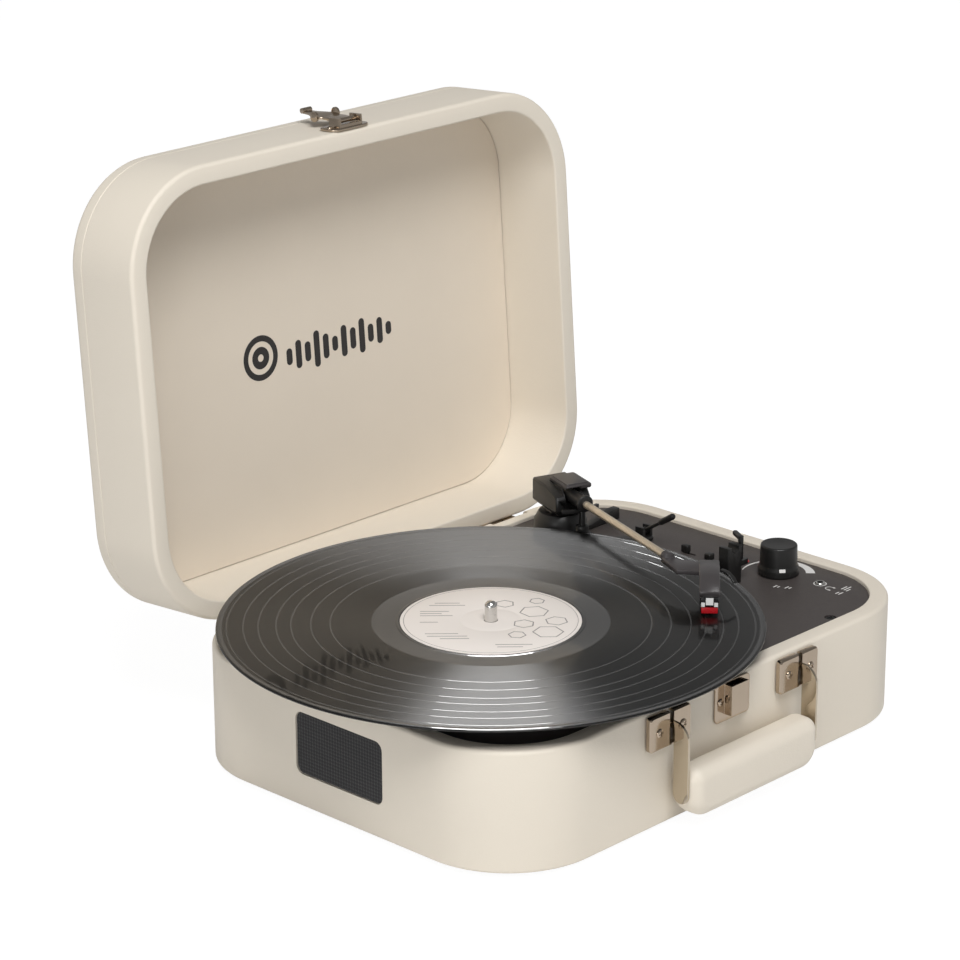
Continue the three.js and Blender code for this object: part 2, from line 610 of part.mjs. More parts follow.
// Cradle that holds the parked arm, with a hook that turns over the tube.
function addArmRest() {
  const bottom = DECK_TOP + GAP;
  const blockOutline = roundedRectangle(REST.width, REST.depth, 1);
  const block = prism(blockOutline, REST.prong - bottom, { curveSegments: 3 })
    .translate(REST.x, REST.y, bottom);
  const saddle = rod(3.1, 20, 20)
    .rotateX(Math.PI / 2)
    .translate(REST.x, REST.y + 10, REST.saddle + 3.1);
  const mouth = box(6.2, 20, 8, REST.x, REST.y, REST.saddle + 7.1);
  const lug = prism(roundedRectangle(9, 6, 1.5), 3, { curveSegments: 3 })
    .translate(REST.x + REST.width / 2 + 3.2, REST.y, CLIP.bottom - GAP - 3);
  const rest = cut(join(block, lug), saddle, mouth);
  addMesh('arm_rest', rest, materials.blackPlastic());

  const stalk = rod(1.6, CLIP.top - CLIP.bottom);
  const hook = prism(roundedRectangle(12, 3.2, 1.5), 2.6, { bevel: 0.5, curveSegments: 3 })
    .translate(4.5, 0, CLIP.top - CLIP.bottom - 2.6)
    .rotateZ(radians(60));
  addMesh('rest_clip', join(stalk, hook), materials.blackPlastic(), player,
    [CLIP.x, CLIP.y, CLIP.bottom]);
}

// ---- handle and front fittings ----
function bladeOutline() {
  const back = -135.6;
  const front = -145.8;
  const bottom = 14.8;
  const arcRadius = 10.2;
  const lug = 1.75;
  const shape = new THREE.Shape();
  shape.moveTo(back, bottom + 5);
  shape.lineTo(back, HANDLE.pivotZ - 3.2);
  shape.lineTo(HANDLE.pivotY, HANDLE.pivotZ - lug);
  shape.absarc(HANDLE.pivotY, HANDLE.pivotZ, lug, -Math.PI / 2, Math.PI / 2);
  shape.lineTo(back, HANDLE.pivotZ + lug - 0.1);
  shape.absarc(back, HANDLE.pivotZ + lug - 0.1 - arcRadius, arcRadius, Math.PI / 2, Math.PI);
  shape.lineTo(front, bottom + 5);
  shape.absarc(front + 5.1, bottom + 5, 5.1, Math.PI, 2 * Math.PI);
  return shape;
}

function addHandle() {
  const grip = prism(gripOutline(), GRIP.thickness, { bevel: 7, bevelSegments: 3, curveSegments: 3 })
    .rotateX(Math.PI / 2)
    .translate(FITTINGS_X + 0.6, GRIP.middleY + GRIP.thickness / 2, GRIP.middleZ);
  addMesh('handle_grip', grip, materials.leatherette());

  for (const [side, name] of [[-1, 'left'], [1, 'right']]) {
    const middle = FITTINGS_X + side * HANDLE.halfSpan;
    const bladeX = middle + HANDLE.bladeOffset;
    const blade = prism(bladeOutline(), HANDLE.bladeThickness, { curveSegments: 4 })
      .rotateX(Math.PI / 2)
      .rotateZ(Math.PI / 2)
      .translate(bladeX - HANDLE.bladeThickness / 2, 0, 0);
    const pin = rod(1, 9, 10)
      .rotateY(Math.PI / 2)
      .translate(bladeX - 4.5, HANDLE.pivotY, HANDLE.pivotZ);
    addMesh(`handle_strap_${name}`, join(blade, pin), materials.nickel());
    addBracket(name, middle, bladeX);
  }
}

// Grip seen from the front: small upper corners and wide round lower ones.
function gripOutline() {
  const w = GRIP.width / 2;
  const h = GRIP.height / 2;
  const upper = 7.4;
  const lower = 12;
  const shape = new THREE.Shape();
  shape.moveTo(-w + lower, -h);
  shape.lineTo(w - lower, -h);
  shape.absarc(w - lower, -h + lower, lower, -Math.PI / 2, 0);
  shape.lineTo(w, h - upper);
  shape.absarc(w - upper, h - upper, upper, 0, Math.PI / 2);
  shape.lineTo(-w + upper, h);
  shape.absarc(-w + upper, h - upper, upper, Math.PI / 2, Math.PI);
  shape.lineTo(-w, -h + lower);
  shape.absarc(-w + lower, -h + lower, lower, Math.PI, 1.5 * Math.PI);
  return shape;
}

// Pressed box with an open back. A slot in its face and top lets the strap swing.
function addBracket(name, middle, bladeX) {
  const { width, height, depth, wall, middleZ } = BRACKET;
  const outer = prism(roundedRectangle(width, height, 2.4), depth, { bevel: 0.9, curveSegments: 3 })
    .rotateX(Math.PI / 2)
    .translate(middle, FRONT - GAP, middleZ);
  const innerY = FRONT - GAP - depth / 2 + wall;
  const inner = box(width - 2 * wall, depth, height - 2 * wall, middle, innerY, middleZ);
  const slotWidth = 3.4;
  const slot = box(slotWidth, 3 * depth, height, bladeX - 0.7, FRONT - depth, middleZ + wall + 0.4);
  addMesh(`handle_bracket_${name}`, cut(outer, inner, slot), materials.nickel());
}

function addCatch() {
  const height = CATCH.top - CATCH.bottom;
  const plate = prism(roundedRectangle(CATCH.width, height, 3), 1.4, { bevel: 0.4, curveSegments: 4 })
    .rotateX(Math.PI / 2)
    .translate(FITTINGS_X, FRONT - GAP, CATCH.bottom + height / 2);
  const wall = 1.2;
  const hookHeight = CATCH.hookTop - CATCH.hookBottom;
  const hookY = FRONT - GAP - CATCH.hookReach / 2;
  const hookZ = CATCH.hookBottom + hookHeight / 2;
  const hookBox = box(CATCH.hookWidth, CATCH.hookReach, hookHeight, FITTINGS_X, hookY, hookZ);
  const inside = box(CATCH.hookWidth - 2 * wall, CATCH.hookReach, hookHeight,
    FITTINGS_X, hookY + wall, hookZ + wall);
  addMesh('catch_plate', join(plate, cut(hookBox, inside)), materials.nickel());
}

// ---- lid ----
// The lid is drawn closed, in a group that turns about the hinge axis.
function lidGeometry(geometry) {
  return geometry.translate(0, -HINGE_AXIS.y, -HINGE_AXIS.z);
}

function addLid(lid) {
  const outer = prism(caseOutline(0), LID_DEPTH, ROUNDED_EDGES);
  const cavityDepth = LID_DEPTH - LID_PANEL_THICKNESS;
  const cavity = prism(caseOutline(LID_WALL), cavityDepth + 5, { curveSegments: CORNER_STEPS })
    .translate(0, 0, -5);
  const shell = cut(outer, cavity).translate(0, 0, LID_BOTTOM);
  addMesh('lid_shell', lidGeometry(shell), materials.leatherette(), lid);

  const lining = prism(caseOutline(LID_WALL + 0.5), LID_LINING_THICKNESS, { curveSegments: CORNER_STEPS })
    .translate(0, 0, LID_BOTTOM + cavityDepth - GAP - LID_LINING_THICKNESS);
  addMesh('lid_lining', lidGeometry(lining), materials.lining(), lid);
}

function knuckle(x, width) {
  return rod(KNUCKLE_RADIUS, width).rotateY(Math.PI / 2).translate(x, HINGE_AXIS.y, HINGE_AXIS.z);
}

function addHinges(lid) {
  const third = HINGE_WIDTH / 3;
  const leafY = BACK + GAP + LEAF_THICKNESS / 2;
  for (const [side, name] of [[-1, 'left'], [1, 'right']]) {
    const x = side * HINGE_X;
    const baseLeaf = join(
      box(HINGE_WIDTH, LEAF_THICKNESS, 16, x, leafY, HINGE_AXIS.z - KNUCKLE_RADIUS - 0.4 - 8),
      box(third - 0.6, LEAF_THICKNESS, 5, x, leafY, HINGE_AXIS.z - 2.6),
      knuckle(x - third / 2 + 0.3, third - 0.6),
    );
    addMesh(`hinge_base_leaf_${name}`, baseLeaf, materials.nickel());
    const tabs = [-third, third].map((dx) =>
      box(third - 0.6, LEAF_THICKNESS, 10, x + dx, leafY, HINGE_AXIS.z + 4));
    const barrels = [-third, third].map((dx) =>
      knuckle(x + dx - third / 2 + 0.3, third - 0.6));
    const plate = box(HINGE_WIDTH, LEAF_THICKNESS, 16, x, leafY, LID_BOTTOM + 9);
    const lidLeaf = lidGeometry(join(plate, ...tabs, ...barrels));
    addMesh(`hinge_lid_leaf_${name}`, lidLeaf, materials.nickel(), lid);
  }
}

// Draw latch: a plate with a box on the lid's front edge and a lever that folds back when open.
function addLatch(lid) {
  const bottom = LID_BOTTOM - 0.2;
  const plate = prism(roundedRectangle(LATCH.width, LATCH.height, 5), 1.3, { bevel: 0.3 })
    .rotateX(Math.PI / 2)
    .translate(FITTINGS_X, FRONT - GAP, bottom + LATCH.height / 2);
  const cheekHeight = 9;
  const cheeks = [-1, 1].map((s) =>
    box(1.2, 6.4, cheekHeight, FITTINGS_X + s * 8.2, FRONT - GAP - 3.6, bottom + 1.6 + cheekHeight / 2));
  const bridge = box(17.6, 3, 1.3, FITTINGS_X, FRONT - GAP - 1.5, bottom + 2.3);
  addMesh('latch_plate', lidGeometry(join(plate, ...cheeks, bridge)), materials.nickel(), lid);

  const pivot = [FITTINGS_X, FRONT - GAP - LATCH.pivotOut, bottom + LATCH.pivotUp];
  const place = [pivot[0], pivot[1] - HINGE_AXIS.y, pivot[2] - HINGE_AXIS.z];
  const half = 6.6;
  const tip = LATCH.leverLength;
  const outline = polygon([
    [-half, 2.4], [half, 2.4], [half, 12], [half + 2.4, 15], [half + 2.4, 18], [half, 20],
    [3.4, tip - 6], [2.6, tip], [-2.6, tip], [-3.4, tip - 6],
    [-half, 20], [-half - 2.4, 18], [-half - 2.4, 15], [-half, 12],
  ]);
  const blade = prism(outline, 1.3).rotateX(Math.PI / 2).translate(0, 0.65, 0);
  const barrel = rod(1.5, 14.6).rotateY(Math.PI / 2).translate(-7.3, 0, 0);
  const web = box(11, 1.3, 3.4, 0, 0, 1.6);
  const ears = [-1, 1].map((s) =>
    rod(3, 1.3, 16).rotateY(Math.PI / 2).translate(s * (half + 1.7) - 0.65, -0.6, 16.5));
  const curl = rod(1.6, 7, 14).rotateY(Math.PI / 2).translate(-3.5, -1, tip - 0.8);
  const lever = join(blade, barrel, web, ...ears, curl);
  addMesh('latch_lever', lever, materials.nickel(), lid, place, [LATCH.rest, 0, 0]);
}

// ---- assembly ----
addCase();
addSpeakers();
addDeck();
addRearSockets();
addControls();
addDrive();
addPlatter();
addArmPedestal();
const arm = addGroup(player, [ARM_PIVOT.x, ARM_PIVOT.y, 0], [0, 0, ARM_ANGLE]);
addArmHousing(arm);
addArmTube(arm);
addHead(arm);
addCueLift();
addArmRest();
addHandle();
addCatch();
const lid = addGroup(player, [0, HINGE_AXIS.y, HINGE_AXIS.z], [-LID_OPEN_ANGLE, 0, 0]);
addLid(lid);
addHinges(lid);
addLatch(lid);

player.updateMatrixWorld(true);
const bounds = new THREE.Box3().setFromObject(player, true);
const middle = bounds.getCenter(new THREE.Vector3());
player.position.set(-middle.x, -middle.y, -bounds.min.z);

export default player;
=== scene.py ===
"""Suitcase record player with its lid open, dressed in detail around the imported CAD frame."""

import json
import math

import bmesh
import bpy
from mathutils import Matrix, Vector

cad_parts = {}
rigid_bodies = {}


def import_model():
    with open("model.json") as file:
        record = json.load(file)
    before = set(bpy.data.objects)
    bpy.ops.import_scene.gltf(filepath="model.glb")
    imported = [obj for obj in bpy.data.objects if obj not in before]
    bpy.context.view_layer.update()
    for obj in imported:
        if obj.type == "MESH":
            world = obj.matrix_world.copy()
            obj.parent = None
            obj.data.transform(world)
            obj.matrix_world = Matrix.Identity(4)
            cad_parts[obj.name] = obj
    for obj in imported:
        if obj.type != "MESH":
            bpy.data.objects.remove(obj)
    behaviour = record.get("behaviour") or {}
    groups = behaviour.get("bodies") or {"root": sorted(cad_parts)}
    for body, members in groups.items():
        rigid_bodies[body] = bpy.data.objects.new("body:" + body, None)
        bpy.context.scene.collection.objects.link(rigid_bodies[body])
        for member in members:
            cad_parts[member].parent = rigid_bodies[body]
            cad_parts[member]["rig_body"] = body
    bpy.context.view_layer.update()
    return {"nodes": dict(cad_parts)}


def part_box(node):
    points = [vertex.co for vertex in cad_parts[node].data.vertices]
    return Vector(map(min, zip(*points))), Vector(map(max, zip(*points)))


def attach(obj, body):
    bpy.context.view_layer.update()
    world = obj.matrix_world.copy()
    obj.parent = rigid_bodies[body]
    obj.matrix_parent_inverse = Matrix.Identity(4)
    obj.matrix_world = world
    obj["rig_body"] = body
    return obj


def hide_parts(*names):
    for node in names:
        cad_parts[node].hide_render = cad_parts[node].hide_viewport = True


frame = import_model()

MM = 0.001
CAD_SLOT = {name: node.data.materials[0].name for name, node in frame["nodes"].items()}
CAD_BODY = {name: node["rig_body"] for name, node in frame["nodes"].items()}

# ---- the part's own measures, in millimetres from the middle of the case's underside ----
CASE_WIDTH, CASE_DEPTH, CASE_HEIGHT = 348.0, 259.6, 68.8
CORNER_RADIUS = 56.5
WALL = 10.7
DECK_TOP = 66.9
LID_WALL = 11.1
LID_RIM, LID_BACK = 69.3, 121.2
LID_CEILING = 117.8
HINGE_Y, HINGE_Z = 130.4, 63.7
OPEN_ANGLE = -94.0
ARM_ANGLE, HEAD_ANGLE = -110.2, -29.3
STYLUS_ALONG, STYLUS_ACROSS = 183.1, -2.9
ARM_AXIS_Z = 98.4
BACK = CASE_DEPTH / 2
FITTINGS_X = -3.0
HINGE_X = 97
SPEAKER_Y, SPEAKER_Z = -3.2, 37.6
TRACK_GAPS = (144.9, 135.7, 127.5, 117.7, 109.6, 98.7, 88.1)
DEAD_WAX = 65.3

# ---- the widest gap that is welded, in metres, and the sharpest smooth edge, in degrees ----
WELD = 1e-6
SHARP = 35

shell_low, shell_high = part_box("base_shell")
ORIGIN = Vector(((shell_low.x + shell_high.x) / 2, (shell_low.y + shell_high.y) / 2, shell_low.z))


def shift(x, y, z):
    return Matrix.Translation((x, y, z))


def turn(angle, axis):
    return Matrix.Rotation(math.radians(angle), 4, axis)


def place(x, y, z):
    """A point of the part in the frame's metres."""
    return ORIGIN + Vector((x, y, z)) * MM


def middle(node):
    """The middle of a CAD node's box, in millimetres of the part."""
    low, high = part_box(node)
    return ((low + high) / 2 - ORIGIN) / MM


SPINDLE = middle("spindle")
KNOB = middle("volume_knob")
JACK = middle("headphone_jack")
LED = middle("power_led")
TRANSIT_SCREW = middle("transit_screw")
PIVOT = Vector((96.0, 84.0, 0))

CASE = Matrix.Translation(ORIGIN) @ Matrix.Scale(MM, 4)
LID = CASE @ shift(0, HINGE_Y, HINGE_Z) @ turn(OPEN_ANGLE, "X") @ shift(0, -HINGE_Y, -HINGE_Z)
ARM = CASE @ shift(PIVOT.x, PIVOT.y, 0) @ turn(ARM_ANGLE, "Z")
HEAD = ARM @ shift(STYLUS_ALONG, STYLUS_ACROSS, 0) @ turn(HEAD_ANGLE, "Z")
TURNTABLE = CASE @ shift(SPINDLE.x, SPINDLE.y, 0)


# ---- materials ----
def material(name, color, roughness, bumps=(), tint=0.04, tint_size=45, rough_range=0.05, **fixed):
    """A Principled material whose colour and roughness wander, with layers of bump.

    Each bump is (texture, pitch in mm, height in mm), and fixed values are Principled sockets."""
    made = bpy.data.materials.new(name)
    made.use_nodes = True
    nodes, links = made.node_tree.nodes, made.node_tree.links
    shader = nodes["Principled BSDF"]
    for socket, value in fixed.items():
        shader.inputs[socket.replace("_", " ")].default_value = value
    coordinates = nodes.new("ShaderNodeTexCoord").outputs["Object"]

    def texture(kind, size, detail=4.0):
        node = nodes.new("ShaderNodeTexVoronoi" if kind == "voronoi" else "ShaderNodeTexNoise")
        node.inputs["Scale"].default_value = 1 / (size * MM)
        if kind == "noise":
            node.inputs["Detail"].default_value = detail
        links.new(coordinates, node.inputs["Vector"])
        return node.outputs["Distance" if kind == "voronoi" else "Fac"]

    shade = nodes.new("ShaderNodeMix")
    shade.data_type = "RGBA"
    shade.inputs["A"].default_value = (*[c * (1 - tint) for c in color], 1)
    shade.inputs["B"].default_value = (*[min(1, c * (1 + tint)) for c in color], 1)
    links.new(texture("noise", tint_size, 6.0), shade.inputs["Factor"])
    links.new(shade.outputs["Result"], shader.inputs["Base Color"])

    spread = nodes.new("ShaderNodeMapRange")
    spread.inputs["To Min"].default_value = max(0.01, roughness - rough_range)
    spread.inputs["To Max"].default_value = min(1, roughness + rough_range)
    links.new(texture("noise", tint_size / 4, 3.0), spread.inputs["Value"])
    links.new(spread.outputs["Result"], shader.inputs["Roughness"])

    normal = None
    for kind, size, height in bumps:
        bump = nodes.new("ShaderNodeBump")
        bump.inputs["Distance"].default_value = height * MM
        links.new(texture(kind, size), bump.inputs["Height"])
        if normal:
            links.new(normal, bump.inputs["Normal"])
        normal = bump.outputs["Normal"]
    if normal:
        links.new(normal, shader.inputs["Normal"])
    return made


def grooved(name, color, roughness, **fixed):
    """Pressed vinyl: circular grooves stretch every highlight along the radius."""
    ring_pitch, ring_contrast = 1.6, 0.38
    made = material(name, color, roughness, tint_size=30, rough_range=0.02, **fixed)
    nodes, links = made.node_tree.nodes, made.node_tree.links
    shader = nodes["Principled BSDF"]
    tangent = nodes.new("ShaderNodeTangent")
    tangent.direction_type = "RADIAL"
    tangent.axis = "Z"
    links.new(tangent.outputs["Tangent"], shader.inputs["Tangent"])

    coordinates = nodes.new("ShaderNodeTexCoord").outputs["Object"]
    flat = nodes.new("ShaderNodeVectorMath")
    flat.operation = "MULTIPLY"
    flat.inputs[1].default_value = (1, 1, 0)
    links.new(coordinates, flat.inputs[0])
    radius = nodes.new("ShaderNodeVectorMath")
    radius.operation = "LENGTH"
    links.new(flat.outputs["Vector"], radius.inputs[0])
    rings = nodes.new("ShaderNodeTexNoise")
    rings.noise_dimensions = "1D"
    rings.inputs["Scale"].default_value = 1 / (ring_pitch * MM)
    rings.inputs["Detail"].default_value = 3
    links.new(radius.outputs["Value"], rings.inputs["W"])
    shade = nodes.new("ShaderNodeMix")
    shade.data_type = "RGBA"
    shade.inputs["A"].default_value = (*[c * (1 - ring_contrast) for c in color], 1)
    shade.inputs["B"].default_value = (*[c * (1 + ring_contrast) for c in color], 1)
    links.new(rings.outputs["Fac"], shade.inputs["Factor"])
    links.new(shade.outputs["Result"], shader.inputs["Base Color"])
    return made


CREAM = (0.755, 0.69, 0.59)
FINE_GRAIN = (("voronoi", 0.9, 0.035), ("noise", 2.6, 0.05))
MOULDED = (("noise", 0.35, 0.012),)
BRUSHED = (("noise", 0.5, 0.004), ("noise", 4.0, 0.02))

looks = {
    "leatherette": material("cream_leatherette", CREAM, 0.56, FINE_GRAIN, tint=0.02, tint_size=70,
                            Sheen_Weight=0.08, Sheen_Roughness=0.5),
    "lid_lining": material("lining_paper", (0.76, 0.675, 0.565), 0.8,
                           (("noise", 0.5, 0.03), ("noise", 9.0, 0.05)), tint=0.025, tint_size=30),
    "panel_board": material("painted_board", (0.03, 0.028, 0.026), 0.7, (("noise", 1.5, 0.08),)),
    "deck": material("deck_texture", (0.060, 0.051, 0.048), 0.5,
                     (("voronoi", 0.45, 0.03), ("noise", 1.2, 0.02)), tint=0.08, tint_size=8),
    "black_plastic": material("satin_black", (0.011, 0.0108, 0.0105), 0.36, MOULDED, tint=0.1),
    "gloss_black": material("gloss_black", (0.012, 0.012, 0.013), 0.16, MOULDED, tint=0.1),
    "speaker_cloth": material("woven_cloth", (0.021, 0.0205, 0.022), 0.75,
                              (("noise", 0.18, 0.03),), tint=0.3, tint_size=1.1,
                              Sheen_Weight=0.3, Sheen_Roughness=0.4),
    "vinyl": grooved("vinyl_grooves", (0.0007, 0.00066, 0.0006), 0.3, Anisotropic=1.0,
                     Anisotropic_Rotation=0.25, Coat_Weight=0.38, Coat_Roughness=0.05,
                     Specular_IOR_Level=0.1),
    "label_paper": material("label_paper", (0.82, 0.765, 0.72), 0.55, (("noise", 0.3, 0.01),), tint=0.02),
    "nickel": material("warm_nickel", (0.48, 0.395, 0.31), 0.14, BRUSHED, tint=0.05, tint_size=12,
                       Metallic=1.0),
    "steel": material("polished_steel", (0.70, 0.69, 0.67), 0.14, BRUSHED, tint=0.04, tint_size=6,
                      Metallic=1.0),
    "rubber": material("rubber", (0.016, 0.016, 0.016), 0.85, (("noise", 0.6, 0.04),), tint=0.15),
    "champagne": material("champagne_tube", (0.72, 0.63, 0.50), 0.34, (("noise", 1.4, 0.012),),
                          tint=0.14, tint_size=5, Metallic=0.75),
    "red_plastic": material("red_plastic", (0.42, 0.008, 0.014), 0.28, MOULDED, tint=0.1),
    "board": material("circuit_board", (0.02, 0.11, 0.045), 0.45, (("noise", 1.5, 0.03),), tint=0.15),
    "felt": material("felt", (0.018, 0.018, 0.018), 0.95, (("noise", 0.4, 0.12), ("noise", 2.0, 0.1)),
                     tint=0.3, tint_size=2, Sheen_Weight=0.3),
}
vinyl_smooth = grooved("vinyl_smooth", (0.0012, 0.0011, 0.001), 0.3, Anisotropic=0.3,
                       Anisotropic_Rotation=0.25, Coat_Weight=0.55, Coat_Roughness=0.03,
                       Specular_IOR_Level=0.1)
ink_dark = material("ink_dark", (0.019, 0.016, 0.015), 0.42, MOULDED, tint=0.15, tint_size=9)
ink_white = material("ink_white", (0.74, 0.73, 0.71), 0.5, MOULDED, tint=0.04, tint_size=4)
ink_grey = material("ink_grey", (0.26, 0.24, 0.235), 0.6, MOULDED, tint=0.15, tint_size=3)
white_plastic = material("white_plastic", (0.78, 0.78, 0.77), 0.4, MOULDED, tint=0.03)
led_lens = material("led_lens", (0.62, 0.06, 0.11), 0.2, MOULDED, tint=0.1,
                    Emission_Color=(1, 0.05, 0.12, 1), Emission_Strength=0.25)
blade_steel = material("blade_mirror", (0.57, 0.50, 0.40), 0.07, (("noise", 6.0, 0.02),), tint=0.03,
                       rough_range=0.02, Metallic=1.0)
dark_inside = material("dark_inside", (0.006, 0.006, 0.006), 0.8, MOULDED, tint=0.2)
smoky_plastic = material("smoky_plastic", (0.05, 0.045, 0.046), 0.34, MOULDED, tint=0.1)


# ---- outlines ----
def arc(x, y, radius, start, end, steps=8):
    """Points on a circle from the start angle to the end angle, in degrees."""
    angles = [math.radians(start + (end - start) * i / steps) for i in range(steps + 1)]
    return [(x + radius * math.cos(a), y + radius * math.sin(a)) for a in angles]


def rounded(corners, steps=5):
    """A closed outline through corners (x, y, radius), each corner turned into an arc."""
    points = []
    for i, (x, y, radius) in enumerate(corners):
        corner = Vector((x, y))
        if not radius:
            points.append((x, y))
            continue
        before = (Vector(corners[i - 1][:2]) - corner).normalized()
        after = (Vector(corners[(i + 1) % len(corners)][:2]) - corner).normalized()
        half = before.angle(after) / 2
        centre = corner + (before + after).normalized() * (radius / math.sin(half))
        start = corner + before * (radius / math.tan(half)) - centre
        end = corner + after * (radius / math.tan(half)) - centre
        first = math.degrees(math.atan2(start.y, start.x))
        sweep = math.degrees(math.atan2(end.y, end.x)) - first
        sweep = (sweep + 180) % 360 - 180
        points += arc(centre.x, centre.y, radius, first, first + sweep, steps)
    return points


def rectangle(width, height, radius, x=0.0, y=0.0, steps=6):
    w, h = width / 2, height / 2
    spots = ((x + w, y - h), (x + w, y + h), (x - w, y + h), (x - w, y - h))
    return rounded([(*spot, radius) for spot in spots], steps)


def case_outline(inset):
    """The rounded rectangle that the case, deck and lid share, drawn in from the outside."""
    return rectangle(CASE_WIDTH - 2 * inset, CASE_DEPTH - 2 * inset, CORNER_RADIUS - inset, steps=22)


def circle(radius, x=0.0, y=0.0, steps=48):
    return arc(x, y, radius, 0, 360, steps)[:-1]


# ---- meshes ----
def finish_mesh(name, points, faces, matrix, sharp=SHARP):
    """An object made of points and faces, its points moved by the matrix."""
    mesh = bpy.data.meshes.new(name)
    mesh.from_pydata([tuple(p) for p in points], [], faces)
    mesh.transform(matrix)
    tidy_mesh(mesh, sharp)
    made = bpy.data.objects.new(name, mesh)
    bpy.context.scene.collection.objects.link(made)
    return made


def tidy_mesh(mesh, sharp=SHARP):
    """Welds doubled points, turns faces outwards and smooths all but the sharp edges."""
    shape = bmesh.new()
    shape.from_mesh(mesh)
    bmesh.ops.remove_doubles(shape, verts=shape.verts, dist=WELD)
    bmesh.ops.recalc_face_normals(shape, faces=shape.faces)
    shape.to_mesh(mesh)
    shape.free()
    mesh.polygons.foreach_set("use_smooth", [True] * len(mesh.polygons))
    mesh.set_sharp_from_angle(angle=math.radians(sharp))


def loft(name, rings, matrix, closed=False):
    """Skins rings of equal length: closed joins the last ring to the first, else both ends are capped."""
    count = len(rings[0])
    points = [p for ring in rings for p in ring]
    faces = []
    for i in range(len(rings) if closed else len(rings) - 1):
        a, b = i * count, (i + 1) % len(rings) * count
        faces += [(a + k, a + (k + 1) % count, b + (k + 1) % count, b + k) for k in range(count)]
    if not closed:
        faces += [tuple(range(count)), tuple(range(len(points) - count, len(points)))]
    return finish_mesh(name, points, faces, matrix)


def sweep_case(name, section, matrix, closed=False):
    """Carries a section of (inset, z) round the case outline."""
    rings = [[(x, y, z) for x, y in case_outline(inset)] for inset, z in section]
    return loft(name, rings, matrix, closed)


def lathe(name, profile, matrix, segments, sharp=SHARP):
    """Turns a closed (radius, z) profile about Z."""
    points, faces, rings = [], [], []
    for radius, z in profile:
        if radius < 1e-6:
            rings.append([len(points)] * segments)
            points.append((0, 0, z))
        else:
            rings.append(list(range(len(points), len(points) + segments)))
            points += [(x, y, z) for x, y in circle(radius, steps=segments)]
    touches_axis = profile[0][0] < 1e-6 and profile[-1][0] < 1e-6
    for i in range(len(rings) - 1 if touches_axis else len(rings)):
        a, b = rings[i], rings[(i + 1) % len(rings)]
        for k in range(segments):
            n = (k + 1) % segments
            corners = list(dict.fromkeys((a[k], a[n], b[n], b[k])))
            if len(corners) > 2:
                faces.append(tuple(corners))
    return finish_mesh(name, points, faces, matrix, sharp)


def slab(name, outline, low, high, matrix, edge=0.0):
    """An outline raised from low to high along Z, its edges bevelled."""
    made = loft(name, [[(x, y, z) for x, y in outline] for z in (low, high)], matrix)
    if edge:
        soften(made.data, edge)
    return made


def soften(mesh, width, segments=2):
    """Bevels every edge sharper than the limit."""
    shape = bmesh.new()
    shape.from_mesh(mesh)
    bmesh.ops.remove_doubles(shape, verts=shape.verts, dist=2 * WELD)
    bmesh.ops.dissolve_limit(shape, angle_limit=math.radians(1), verts=shape.verts, edges=shape.edges)
    hard = [e for e in shape.edges if len(e.link_faces) == 2 and e.calc_face_angle() > math.radians(SHARP)]
    bmesh.ops.bevel(shape, geom=hard, offset=width * MM, segments=segments, profile=0.6,
                    affect="EDGES", clamp_overlap=True)
    shape.to_mesh(mesh)
    shape.free()
    tidy_mesh(mesh)


def combine(name, *objects):
    """Joins objects into a new one and removes them."""
    mesh = bpy.data.meshes.new(name)
    shape = bmesh.new()
    for part in objects:
        part.data.transform(part.matrix_world)
        shape.from_mesh(part.data)
    shape.to_mesh(mesh)
    shape.free()
    for part in objects:
        bpy.data.objects.remove(part)
    mesh.polygons.foreach_set("use_smooth", [True] * len(mesh.polygons))
    mesh.set_sharp_from_angle(angle=math.radians(SHARP))
    made = bpy.data.objects.new(name, mesh)
    bpy.context.scene.collection.objects.link(made)
    return made


def carve(target, *cutters):
    """Takes the cutters out of the target."""
    for cutter in cutters:
        modifier = target.modifiers.new("cut", "BOOLEAN")
        modifier.object = cutter
        modifier.solver = "EXACT"
    bpy.context.view_layer.update()
    evaluated = target.evaluated_get(bpy.context.evaluated_depsgraph_get())
    target.data = bpy.data.meshes.new_from_object(evaluated)
    target.modifiers.clear()
    for cutter in cutters:
        bpy.data.objects.remove(cutter)
    tidy_mesh(target.data)
    return target


def centred(made, matrix):
    """Moves the object's origin to a point of the part and keeps its shape where it is."""
    origin = matrix.to_translation()
    made.data.transform(Matrix.Translation(-origin))
    made.matrix_world = Matrix.Translation(origin)
    return made


def piece(made, body, slot, look=None, replaces=()):
    """Gives an object its material (the slot's look unless another is given) and body, and hides the CAD
    nodes that it replaces.
    """
    made.data.materials.clear()
    made.data.materials.append(look or looks[slot])
    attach(made, body)
    if replaces:
        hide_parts(*replaces)
    return made


def stands_for(made, node, look=None):
    """A new piece takes the place and body of one CAD node, and its slot's look unless another is given."""
    return piece(made, CAD_BODY[node], CAD_SLOT[node], look, (node,))


def refined(node, width, segments=2, look=None):
    """A copy of a CAD node with every hard edge broken by a small rounding."""
    made = bpy.data.objects.new(f"{node}_detailed", frame["nodes"][node].data.copy())
    bpy.context.scene.collection.objects.link(made)
    soften(made.data, width, segments)
    return stands_for(made, node, look)


def decal(name, shapes, low, high, matrix, body, slot, look):
    """Thin printed marks: each shape is an outline, or a pair of outlines for a band."""
    parts = []
    for i, shape in enumerate(shapes):
        if isinstance(shape[0][0], tuple):
            outer, inner = shape
            rings = [[(x, y, z) for x, y in loop] for loop, z in
                     ((outer, low), (outer, high), (inner, high), (inner, low))]
            parts.append(loft(f"{name}_{i}", rings, matrix, closed=True))
        else:
            parts.append(slab(f"{name}_{i}", shape, low, high, matrix))
    return piece(combine(name, *parts), body, slot, look)


